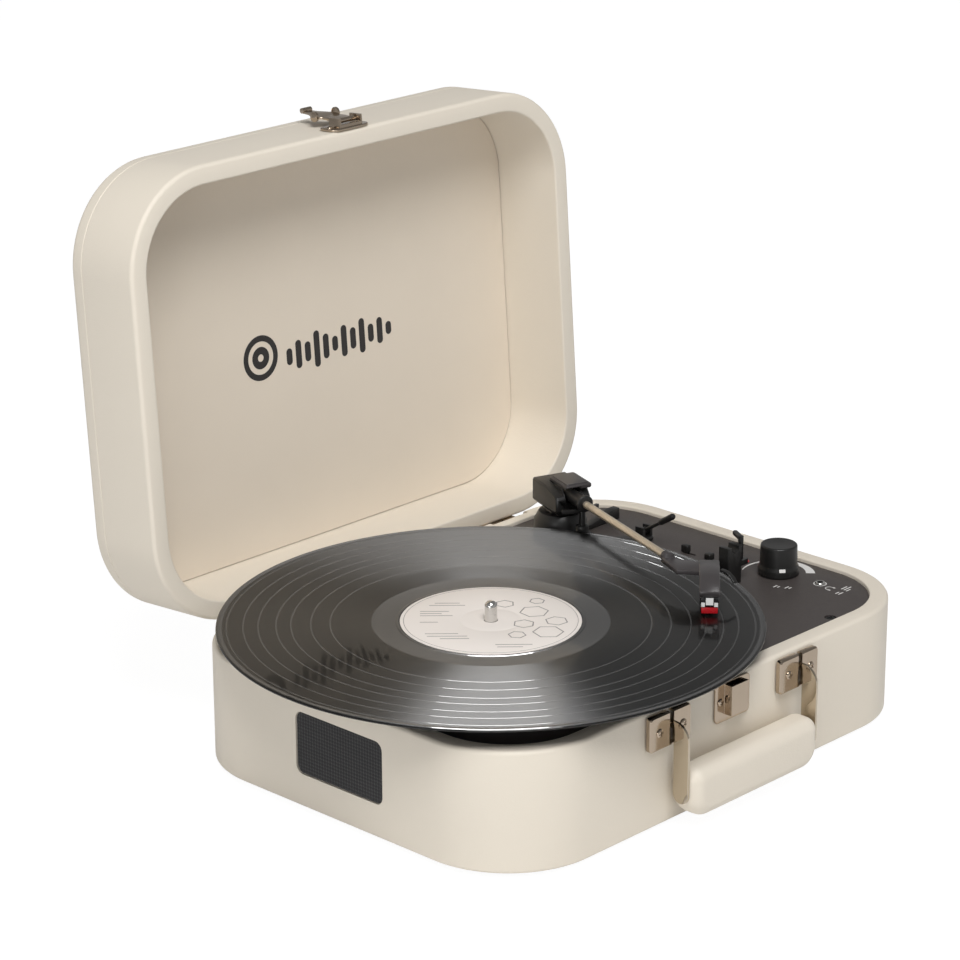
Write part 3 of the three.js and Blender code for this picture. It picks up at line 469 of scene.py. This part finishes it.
# ---- case ----
case = sweep_case("case_shell", rounded([
    (0, 0, 2.2), (0, CASE_HEIGHT, 2.4), (WALL, CASE_HEIGHT, 0.8), (WALL, 0, 0.4)]), CASE, closed=True)
windows = []
for side in (-1, 1):
    sideways = CASE @ shift(side * CASE_WIDTH / 2, SPEAKER_Y, SPEAKER_Z) @ turn(90, "Z") @ turn(90, "X")
    windows.append(slab(f"window_{side}", rectangle(65.6, 36.2, 5), -30, 30, sideways))
notches = [slab(f"notch_{x}", rectangle(31, 9.2, 0, x, BACK), HINGE_Z - 3.2, 130, CASE)
           for x in (-HINGE_X, HINGE_X)]
stands_for(carve(case, *windows, *notches), "base_shell")

deck = sweep_case("deck_panel", [(WALL + 0.3, DECK_TOP - 3), (WALL + 0.3, DECK_TOP - 0.4),
                                 (WALL + 0.42, DECK_TOP - 0.12), (WALL + 0.7, DECK_TOP)], CASE)
cut_depth, cut_above, screw_recess = 20, 9, 1.4
deck_holes = [(SPINDLE, 4.1, cut_depth), (middle("motor"), 4, cut_depth), (KNOB, 4, cut_depth),
              (JACK, 1.8, cut_depth), (LED, 1.9, cut_depth), (TRANSIT_SCREW, 3.4, screw_recess)]
cutters = []
for i, (centre, radius, depth) in enumerate(deck_holes):
    cutters.append(slab(f"hole_{i}", circle(radius, centre.x, centre.y, 32), DECK_TOP - depth,
                        DECK_TOP + cut_above, CASE))
for i, (node, travel) in enumerate((("speed_switch", 6), ("auto_stop_switch", 4))):
    stem = middle(node)
    cutters.append(slab(f"slot_{i}", rectangle(2.0, 3.0 + travel, 0.4, stem.x, stem.y - travel / 2),
                        DECK_TOP - cut_depth, DECK_TOP + cut_above, CASE))
stands_for(carve(deck, *cutters), "deck_plate")

for corner in ("front_left", "front_right", "back_right", "back_left"):
    node = f"foot_{corner}"
    spot = middle(node)
    foot_profile = [(0, -3.2), (3.2, -3.2), (3.2, -2.4), (4.6, -2.4), (4.6, -3.2), (8.0, -3.2),
                    (8.6, -2.9), (9, -2.2), (9, 0.7), (0, 0.7)]
    stands_for(lathe(f"rubber_{node}", foot_profile, CASE @ shift(spot.x, spot.y, 0), 40), node)


# ---- speaker cloth ----
def woven_panel(name, width, height, radius, matrix):
    """Plain weave: threads that pass over and under each other, trimmed to a rounded rectangle."""
    pitch, per_thread, swell, depth = 2.0, 6, 0.45, 1.2
    tucked_width, tucked_drop = 0.9, 0.55
    columns, rows = round(width / pitch) * per_thread, round(height / pitch) * per_thread
    corner = Vector((width / 2 - radius, height / 2 - radius))
    points = []
    for j in range(rows + 1):
        for i in range(columns + 1):
            u, v = i / per_thread, j / per_thread
            x, y = (u * pitch - width / 2) * width / (columns / per_thread * pitch), v * pitch - height / 2
            y *= height / (rows / per_thread * pitch)
            over = 1 if (math.floor(u) + math.floor(v)) % 2 else -1
            across, along = (u % 1) * 2 - 1, (v % 1) * 2 - 1
            warp = math.sqrt(max(0, 1 - across ** 2)) + over * math.cos(math.pi * along / 2)
            weft = math.sqrt(max(0, 1 - along ** 2)) - over * math.cos(math.pi * across / 2)
            beyond = Vector((max(0, abs(x) - corner.x), max(0, abs(y) - corner.y)))
            distance = radius - beyond.length
            if distance < 0:
                scale = radius / beyond.length
                x = math.copysign(min(abs(x), corner.x) + beyond.x * scale, x)
                y = math.copysign(min(abs(y), corner.y) + beyond.y * scale, y)
                distance = 0
            edge = min(1, distance / tucked_width)
            z = swell * (max(warp, weft) - 2) / 2 * edge - tucked_drop * (1 - edge) ** 2
            points.append((x, y, z))
    stride = columns + 1
    faces = [(j * stride + i, j * stride + i + 1, (j + 1) * stride + i + 1, (j + 1) * stride + i)
             for j in range(rows) for i in range(columns)]
    border = list(range(columns))
    border += [j * stride + columns for j in range(rows)]
    border += [rows * stride + i for i in range(columns, 0, -1)]
    border += [j * stride for j in range(rows, 0, -1)]
    base = len(points)
    points += [(points[k][0], points[k][1], -depth) for k in border]
    count = len(border)
    faces += [(border[k], border[(k + 1) % count], base + (k + 1) % count, base + k) for k in range(count)]
    faces.append(tuple(range(base, base + count)))
    made = finish_mesh(name, points, faces, matrix, sharp=60)
    shape = bmesh.new()
    shape.from_mesh(made.data)
    bmesh.ops.remove_doubles(shape, verts=shape.verts, dist=2 * WELD)
    bmesh.ops.dissolve_degenerate(shape, edges=shape.edges, dist=WELD)
    shape.to_mesh(made.data)
    shape.free()
    return made


for side, name in ((-1, "left"), (1, "right")):
    face = side * (CASE_WIDTH / 2 - 0.5)
    outwards = CASE @ shift(face, SPEAKER_Y, SPEAKER_Z) @ turn(90 * side, "Z") @ turn(90, "X")
    stands_for(woven_panel(f"speaker_cloth_{name}", 65, 35.6, 4.7, outwards), f"speaker_grille_{name}")
    refined(f"speaker_driver_{name}", 0.3)


# ---- record, platter and spindle ----
def turned_piece(name, node, profile, segments, sharp=SHARP):
    """A turned piece that spins with the platter, its origin on the spindle's axis."""
    made = centred(lathe(name, profile, TURNTABLE, segments, sharp), TURNTABLE)
    return stands_for(made, node)


BORE = 3.8
GROOVES, SMOOTH = 82.06, 82.0
record_profile = [(BORE, 80.4), (52, 80.4), (148.6, 80.4), (149.8, 80.5), (150.5, 80.8), (150.8, 81.3),
                  (150.75, 81.7), (150.4, 82.1), (149.8, 82.3), (149.0, 82.28), (148.2, 82.12),
                  (147.3, GROOVES)]
for gap in TRACK_GAPS:
    record_profile += [(gap + 0.5, GROOVES), (gap + 0.3, SMOOTH), (gap - 0.3, SMOOTH), (gap - 0.5, GROOVES)]
record_profile += [(DEAD_WAX + 0.3, GROOVES), (DEAD_WAX - 0.3, SMOOTH), (52.4, SMOOTH), (51.6, 82.16),
                   (50.6, 82.16), (50.3, 81.6), (BORE, 81.6)]
# A low sharp angle keeps the shading of the small steps between tracks out of the flat bands.
record = turned_piece("vinyl_disc", "vinyl_record", record_profile, 288, sharp=8)
record.data.materials.append(vinyl_smooth)
for polygon in record.data.polygons:
    reach = Vector(polygon.center).xy.length / MM
    near_gap = any(abs(reach - gap) < 0.45 for gap in TRACK_GAPS)
    beyond_lead_in = reach > 147.2
    if near_gap or beyond_lead_in or reach < DEAD_WAX:
        polygon.material_index = 1

turned_piece("paper_label", "record_label", [
    (BORE, 81.92), (49.9, 81.92), (50, 82.0), (50, 82.24), (49.85, 82.32), (17.4, 82.33), (17.1, 82.25),
    (16.6, 82.25), (16.3, 82.33), (BORE + 0.3, 82.33), (BORE, 82.25)], 160)
turned_piece("spindle_pin", "spindle", [
    (0, 46), (3.5, 46), (3.5, 82.0), (3.5, 90.6), (3.36, 91.5), (2.95, 92.3), (2.3, 92.95), (1.4, 93.4),
    (0.6, 93.57), (0, 93.6)], 48)
turned_piece("platter_casting", "platter", [
    (BORE, 70), (9, 70), (9, 75), (57, 75), (57, 69.3), (60, 69.3), (60, 75), (97.4, 75), (97.4, 70),
    (97.8, 69.98), (99.6, 69.98), (100, 70.3), (100, 73.4), (99.6, 73.6), (99.6, 74.4), (100, 74.6),
    (100, 77.2), (99.8, 77.75), (99.2, 78), (BORE, 78)], 128)
turned_piece("felt_mat", "slip_mat", [
    (BORE, 78.3), (97.6, 78.3), (98, 78.6), (98, 79.8), (97.6, 80.1), (62, 80.1), (61, 79.9), (52, 79.9),
    (51, 80.1), (BORE, 80.1)], 128)

label_top = 82.33
label_marks = [(circle(48.1, steps=96), circle(47.8, steps=96))]
label_marks += [rectangle(w, 0.7, 0.3, x, y) for x, y, w in (
    (-31, 13, 16), (-33, 9.8, 12), (-30, 6.6, 18), (-24, 22, 20), (-24, 25.4, 14), (-34, -3, 10),
    (-27, -20, 18), (-24, -23.6, 22), (-20, -27.2, 16), (12, -36, 20), (10, -39.4, 14))]
for x, y, size, start in ((24, 12, 8.4, 10), (36, -2, 6.6, 40), (18, -6, 6.2, 25), (31, -18, 8.8, 0),
                          (14, -22, 5.2, 50), (8, 24, 5.6, 30), (26, 28, 4.6, 15)):
    outer, inner = (arc(x, y, radius, start, start + 360, 6)[:-1] for radius in (size, size - 0.75))
    label_marks.append((outer, inner))
decal("label_print", label_marks, label_top - 0.02, label_top + 0.02, TURNTABLE @ turn(-46, "Z"),
      "turntable", "label_paper", ink_grey)


# ---- controls ----
KNOB_PLACE = CASE @ shift(KNOB.x, KNOB.y, 0)
knob_profile = [(0, 55.2), (3, 55.2), (3, 67.2), (11.7, 67.2), (12.1, 67.6), (12.1, 71.0), (12.0, 71.35),
                (11.1, 73.05), (11.0, 73.4), (10.75, 84.2), (10.6, 84.75), (10.2, 85.1), (9.7, 85.18),
                (8.9, 85.14), (4, 84.9), (0, 84.8)]
stands_for(centred(lathe("volume_dial", knob_profile, KNOB_PLACE, 96), KNOB_PLACE), "volume_knob")
pointer = KNOB_PLACE @ turn(-130, "Z") @ shift(11.45, 0, 72.25) @ turn(60, "Y")
decal("volume_pointer", [rectangle(2.0, 3.6, 0.3)], -0.3, 0.12, pointer, "volume", "black_plastic",
      ink_white)


def crescent_edge(radius, narrowing, start=118, sweep=166, steps=40):
    """Points clockwise round the knob, drawn in evenly until the radius is less by the narrowing."""
    points = []
    for i in range(steps + 1):
        a = math.radians(start - sweep * i / steps)
        reach = radius - narrowing * i / steps
        points.append((KNOB.x + reach * math.cos(a), KNOB.y + reach * math.sin(a)))
    return points


deck_marks = [crescent_edge(21.4, 0) + crescent_edge(20.9, 4.9)[::-1]]
deck_marks.append((circle(3.9, JACK.x, JACK.y, 40), circle(3.3, JACK.x, JACK.y, 40)))
headphone = Vector((JACK.x - 2.2, JACK.y - 8.6))
deck_marks.append(arc(headphone.x, headphone.y, 2.6, -20, 200, 20)
                  + arc(headphone.x, headphone.y, 2.1, 200, -20, 20))
deck_marks += [rectangle(1.1, 1.9, 0.4, headphone.x + dx, headphone.y - 1.4) for dx in (-2.3, 2.3)]
deck_marks += [rectangle(w, 0.75, 0.3, x, y) for x, y, w in (
    (121, -60.5, 3.6), (121.5, -62.5, 2.4), (124, -66.5, 3.8), (124.6, -68.5, 2.6),
    (146, -91, 5.6), (146.6, -93, 7.0), (144.6, -95, 4.2), (137, -93, 3.4), (137.6, -95, 4.4))]
decal("deck_print", deck_marks, DECK_TOP - 0.05, DECK_TOP + 0.06, CASE, "case", "deck", ink_white)
red_ring = (circle(3.1, LED.x, LED.y, 32), circle(1.95, LED.x, LED.y, 32))
decal("indicator_ring", [red_ring], DECK_TOP - 0.05, DECK_TOP + 0.25, CASE, "case", "red_plastic",
      looks["red_plastic"])
LED_PLACE = CASE @ shift(LED.x, LED.y, 0)
lens_profile = [(0, 64.4), (1.5, 64.4), (1.5, 66.9), (1.38, 67.3), (1.0, 67.6), (0.5, 67.76), (0, 67.8)]
stands_for(lathe("indicator_lens", lens_profile, LED_PLACE, 32), "power_led", led_lens)
JACK_PLACE = CASE @ shift(JACK.x, JACK.y, 0)
ring_profile = [(1.8, 67.2), (3.1, 67.2), (3.1, 67.6), (2.95, 67.85), (2.6, 68.1), (2.1, 68.1), (1.8, 67.9)]
stands_for(lathe("jack_ring", ring_profile, JACK_PLACE, 40), "headphone_jack")
well_profile = [(0, 62), (1.75, 62), (1.75, 67.6), (1.5, 67.6), (1.5, 63), (0, 63)]
piece(lathe("jack_well", well_profile, JACK_PLACE, 24), "case", "black_plastic", dark_inside)

for node in ("speed_switch", "auto_stop_switch", "rest_clip", "arm_rest", "cue_base", "cue_lift_bar",
             "cue_lever", "motor_pulley", "circuit_board", "bottom_panel", "socket_plate"):
    refined(node, 0.25)
refined("motor", 0.4)
refined("drive_belt", 0.15)

# ---- tonearm ----
refined("arm_pedestal", 0.4)
refined("arm_yoke", 0.45)
refined("arm_cap", 0.3, look=smoky_plastic)
refined("arm_carrier", 0.25)
refined("headshell", 0.3, look=smoky_plastic)
refined("finger_lift", 0.2)
refined("cartridge", 0.3)
refined("stylus", 0.25)
along_x = ARM @ shift(0, 0, ARM_AXIS_Z) @ turn(90, "Y")
tube_profile = [(0, 32.3), (2.1, 32.3), (2.2, 32.6), (2.2, 36.0), (2.12, 36.3), (2.12, 36.9), (2.2, 37.2),
                (2.2, 126.4), (2.05, 127), (0, 127)]
stands_for(lathe("arm_tube_drawn", tube_profile, along_x, 40), "arm_tube")
decal("contact_block", [rectangle(1.2, 4.2, 0.2, -0.3, 0)], 88.4, 92.4, HEAD, "arm", "gloss_black",
      white_plastic)
decal("contact_pads", [rectangle(1.1, 2.1, 0.2, -0.25, y) for y in (-3.6, 3.6)], 87.4, 89.6, HEAD, "arm",
      "gloss_black", white_plastic)


# ---- screws ----
def screws(name, spots, matrix, body, radius, look=None, replaces=()):
    """Cross-head screws at spots (x, y, z, tilt of the slot), with heads facing +Z of the matrix."""
    slot, reach = 0.28 * radius, 1.25 * radius
    profile = [(0, 0), (radius, 0), (radius, 0.25), (radius * 0.9, 0.62), (radius * 0.62, 0.95),
               (radius * 0.3, 1.1), (0, 1.14)]
    parts = []
    for i, (x, y, z, tilt) in enumerate(spots):
        stand = matrix @ shift(x, y, z) @ turn(tilt, "Z")
        head = lathe(f"{name}_{i}", profile, stand, 32)
        arms = [slab(f"{name}_{i}_{w}", rectangle(w, reach + slot - w, 0), 0.4, 2, stand)
                for w in (slot, reach)]
        parts.append(carve(head, *arms))
    return piece(combine(name, *parts), body, "black_plastic" if replaces else "nickel", look, replaces)


screws("deck_screw", [(TRANSIT_SCREW.x, TRANSIT_SCREW.y, DECK_TOP - 1.1, 20)], CASE, "case", 2.9,
       looks["black_plastic"], ("transit_screw",))

# ---- handle and front fittings ----
facing_front = CASE @ turn(90, "X")


def grip_ring(inset, z):
    """The grip's outline drawn in by the inset, with rounder corners at the bottom."""
    w, h = 52.3 - inset, 14.3 - inset
    upper, lower = max(7.4 - inset, 0.6), max(12 - inset, 1.5)
    outline = rounded([(w, -h, lower), (w, h, upper), (-w, h, upper), (-w, -h, lower)], 8)
    return [(x, y, z) for x, y in outline]


grip_edge, grip_half = 7.2, 9.5
grip_section = [(grip_edge - grip_edge * math.sin(math.radians(a)),
                 grip_half - grip_edge + grip_edge * math.cos(math.radians(a))) for a in range(0, 91, 10)]
grip_rings = [grip_ring(inset, z) for inset, z in grip_section]
grip_rings += [grip_ring(inset, -z) for inset, z in reversed(grip_section)]
grip_middle = middle("handle_grip")
grip_place = facing_front @ shift(grip_middle.x, grip_middle.z, -grip_middle.y)
stands_for(loft("moulded_grip", grip_rings, grip_place), "handle_grip")

blade_back, blade_front, blade_foot = -135.6, -145.8, 19.8
lug, blade_arc, blade_hook = 1.75, 10.2, 5.1
pivot_y, pivot_z = -132.0, 59.2
lug_top = pivot_z + lug - 0.1
blade = [(blade_back, blade_foot), (blade_back, pivot_z - 3.2)]
blade += arc(pivot_y, pivot_z, lug, -90, 90, 12)
blade += arc(blade_back, lug_top - blade_arc, blade_arc, 90, 180, 20)
blade += arc(blade_front + blade_hook, blade_foot, blade_hook, 180, 350, 20)
for name in ("left", "right"):
    node = f"handle_strap_{name}"
    blade_x = middle(node).x
    sideways = CASE @ shift(blade_x, 0, 0) @ turn(90, "Z") @ turn(90, "X")
    strap = slab(f"strap_{name}", blade, -0.8, 0.8, sideways, 0.25)
    pin = lathe(f"strap_pin_{name}", [(0, -4.5), (0.85, -4.5), (1, -4.3), (1, 4.3), (0.85, 4.5), (0, 4.5)],
                CASE @ shift(blade_x, pivot_y, pivot_z) @ turn(90, "Y"), 24)
    stands_for(combine(f"strap_blade_{name}", strap, pin), node, blade_steel)
    bracket = middle(f"handle_bracket_{name}")
    refined(f"handle_bracket_{name}", 0.25, 3)
    spots = [(bracket.x + dx, bracket.z, 134.3, tilt) for dx, tilt in ((-9.2, 15), (9.6, 50))]
    screws(f"bracket_screws_{name}", spots, facing_front, "case", 2.6)

refined("catch_plate", 0.3, 3)
screws("catch_screws", [(FITTINGS_X + dx, 56.7, 131.6, tilt) for dx, tilt in ((-10.4, 30), (10.4, 75))],
       facing_front, "case", 2.3)

# ---- lid ----
lid_rim = rounded([(LID_WALL, LID_CEILING, 0), (LID_WALL, LID_RIM, 1.2), (0, LID_RIM, 2.4), (0, 110.8, 0)])
seam = [(0.3, 111.1), (0.3, 111.3), (0, 111.6)]
lid_edge = 4.2
lid_back_corner = arc(lid_edge, LID_BACK - lid_edge, lid_edge, 180, 90)
stands_for(sweep_case("lid_skin", lid_rim + seam + lid_back_corner, LID), "lid_shell")
stands_for(sweep_case("lining_sheet", [(11.6, 116.2), (11.6, 117.5)], LID), "lid_lining")
print_low, print_high = 116.12, 116.22
disc_x, disc_y, disc_r = -44.0, 1.8, 13.4
emblem = [(circle(disc_r, disc_x, disc_y, 64), circle(disc_r - 3.6, disc_x, disc_y, 64)),
          (circle(6.6, disc_x, disc_y, 48), circle(2.2, disc_x, disc_y, 48))]
bar_heights = (10, 17, 12, 22, 15, 9, 19, 13, 21, 11, 16, 8)
emblem += [rectangle(4.6, height, 2.3, -21.5 + 7.4 * i, 6.0) for i, height in enumerate(bar_heights)]
decal("lid_emblem", emblem, print_low, print_high, LID, "lid", "lid_lining", ink_dark)

for name in ("left", "right"):
    refined(f"hinge_base_leaf_{name}", 0.25)
    refined(f"hinge_lid_leaf_{name}", 0.25)
latch_front = LID @ turn(90, "X")
refined("latch_plate", 0.25)
refined("latch_lever", 0.3)
screws("latch_screws", [(FITTINGS_X + dx, 76.6, 131.4, tilt) for dx, tilt in ((-11.6, 20), (11.6, 65))],
       latch_front, "lid", 1.9)
facing_back = CASE @ turn(180, "Z") @ turn(90, "X")
lid_back = LID @ turn(180, "Z") @ turn(90, "X")
for name, x in (("left", -HINGE_X), ("right", HINGE_X)):
    screws(f"hinge_screws_{name}", [(-x + dx, 52.4, 131.3, 25 + dx) for dx in (-10.5, 0, 10.5)],
           facing_back, "case", 2.2)
    screws(f"hinge_lid_screws_{name}", [(-x + dx, 80.6, 131.3, 60 + dx) for dx in (-10.5, 0, 10.5)],
           lid_back, "lid", 2.2)

# ---- sockets at the back ----
for node in ("audio_socket_left", "audio_socket_right", "power_inlet"):
    refined(node, 0.2)
for node, look in (("audio_socket_left", white_plastic), ("audio_socket_right", looks["red_plastic"]),
                   ("power_inlet", looks["black_plastic"])):
    spot = middle(node)
    outwards = CASE @ shift(spot.x, 0, spot.z) @ turn(-90, "X")
    insert_profile = [(0, 131.6), (4.9, 131.6), (4.9, 132.2), (4.4, 132.6), (0, 132.6)]
    piece(lathe(f"{node}_insert", insert_profile, outwards, 32), "case", "black_plastic", look)

# ---- camera ----
AZIMUTH, ELEVATION, ROLL = (math.radians(a) for a in (-46.331, 19.292, -0.197))
CAMERA_TARGET, CAMERA_DISTANCE = Vector((0.53, 59.1, 133.9)), 1900
LENS, SENSOR = 125.54, 36
back = Vector((math.sin(AZIMUTH) * math.cos(ELEVATION), -math.cos(AZIMUTH) * math.cos(ELEVATION),
               math.sin(ELEVATION)))
right = Vector((math.cos(AZIMUTH), math.sin(AZIMUTH), 0))
up = back.cross(right)
rolled_right = right * math.cos(ROLL) + up * math.sin(ROLL)
rolled_up = up * math.cos(ROLL) - right * math.sin(ROLL)
camera_data = bpy.data.cameras.new("camera")
camera_data.lens = LENS
camera_data.sensor_width = SENSOR
camera = bpy.data.objects.new("camera", camera_data)
stand = Matrix.Translation(place(*(CAMERA_TARGET + back * CAMERA_DISTANCE)))
camera.matrix_world = stand @ Matrix((rolled_right, rolled_up, back)).transposed().to_4x4()
camera_data.clip_start, camera_data.clip_end = 0.05, 50
bpy.context.scene.collection.objects.link(camera)
bpy.context.scene.camera = camera


# ---- floor and lights ----
def area_light(name, spot, target, width, depth, power):
    """A white rectangular lamp, in metres and watts, that faces the target."""
    data = bpy.data.lights.new(name, "AREA")
    data.shape = "RECTANGLE"
    data.size, data.size_y, data.energy = width, depth, power
    lamp = bpy.data.objects.new(name, data)
    lamp.location = spot
    lamp.rotation_mode = "QUATERNION"
    lamp.rotation_quaternion = (Vector(target) - Vector(spot)).to_track_quat("-Z", "Y")
    bpy.context.scene.collection.objects.link(lamp)
    return lamp


FLOOR_REACH = 8.0
FLOOR_GLOW, FLOOR_GLOW_SHARE = 1.12, 0.85
BACKDROP_GLOW = 1.05

floor_mesh = bpy.data.meshes.new("floor")
floor_corners = [(x * FLOOR_REACH, y * FLOOR_REACH, 0) for x, y in ((-1, -1), (1, -1), (1, 1), (-1, 1))]
floor_mesh.from_pydata(floor_corners, [], [(0, 1, 2, 3)])
floor = bpy.data.objects.new("floor", floor_mesh)
bpy.context.scene.collection.objects.link(floor)
floor_look = material("pale_floor", (0.88, 0.88, 0.88), 0.9, tint=0.005)
# The floor is a plain lit surface, and most of what the camera itself sees of it is an even white glow.
floor_nodes, floor_links = floor_look.node_tree.nodes, floor_look.node_tree.links
glow = floor_nodes.new("ShaderNodeEmission")
glow.inputs["Strength"].default_value = FLOOR_GLOW
whiten = floor_nodes.new("ShaderNodeMixShader")
seen = floor_nodes.new("ShaderNodeMath")
seen.operation = "MULTIPLY"
seen.inputs[1].default_value = FLOOR_GLOW_SHARE
floor_links.new(floor_nodes.new("ShaderNodeLightPath").outputs["Is Camera Ray"], seen.inputs[0])
floor_links.new(seen.outputs["Value"], whiten.inputs["Fac"])
floor_links.new(floor_nodes["Principled BSDF"].outputs["BSDF"], whiten.inputs[1])
floor_links.new(glow.outputs["Emission"], whiten.inputs[2])
floor_links.new(whiten.outputs["Shader"], floor_nodes["Material Output"].inputs["Surface"])
floor.data.materials.append(floor_look)

world = bpy.data.worlds.new("studio")
bpy.context.scene.world = world
world.use_nodes = True
sky, sky_links = world.node_tree.nodes, world.node_tree.links
height = sky.new("ShaderNodeSeparateXYZ")
sky_links.new(sky.new("ShaderNodeTexCoord").outputs["Generated"], height.inputs["Vector"])
# The light of the sky falls off from near the horizon upwards, and the camera sees plain white instead.
fade = sky.new("ShaderNodeMapRange")
fade.interpolation_type = "SMOOTHSTEP"
for socket, value in (("From Min", 0.1), ("From Max", 0.6), ("To Min", 0.42), ("To Max", 0.22)):
    fade.inputs[socket].default_value = value
sky_links.new(height.outputs["Z"], fade.inputs["Value"])
sky_links.new(fade.outputs["Result"], sky["Background"].inputs["Strength"])
sky["Background"].inputs["Color"].default_value = (1, 0.995, 0.985, 1)
backdrop = sky.new("ShaderNodeBackground")
backdrop.inputs["Strength"].default_value = BACKDROP_GLOW
whiter = sky.new("ShaderNodeMixShader")
sky_links.new(sky.new("ShaderNodeLightPath").outputs["Is Camera Ray"], whiter.inputs["Fac"])
sky_links.new(sky["Background"].outputs["Background"], whiter.inputs[1])
sky_links.new(backdrop.outputs["Background"], whiter.inputs[2])
sky_links.new(whiter.outputs["Shader"], sky["World Output"].inputs["Surface"])

area_light("softbox", spot=(-0.75, -1.1, 2.3), target=(0, 0, 0.1), width=1.3, depth=1.3, power=52)
area_light("low_fill", spot=(-2.3, -0.8, 0.4), target=(0, 0, 0.05), width=1.2, depth=0.6, power=9)

# The grooves' bright wedges come from a narrow lamp behind the player that only the record receives.
# Nothing but the tonearm and its bearing housing casts a shadow in it.
GLINT_BEHIND, GLINT_ABOVE = 0.92, 1.31
record_middle = place(SPINDLE.x, SPINDLE.y, 82)
towards_camera = Vector((back.x, back.y, 0)).normalized()
glint_spot = record_middle - towards_camera * GLINT_BEHIND + Vector((0, 0, GLINT_ABOVE))
record_glint = area_light("record_glint", glint_spot, record_middle, width=0.4, depth=0.9, power=62)
glint_receivers = bpy.data.collections.new("glint_receivers")
glint_receivers.objects.link(record)
record_glint.light_linking.receiver_collection = glint_receivers
glint_blockers = bpy.data.collections.new("glint_blockers")
for shade_caster in bpy.context.scene.objects:
    if shade_caster.get("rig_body") in ("arm", "arm_base"):
        glint_blockers.objects.link(shade_caster)
record_glint.light_linking.blocker_collection = glint_blockers

bpy.context.scene.view_settings.view_transform = "Standard"
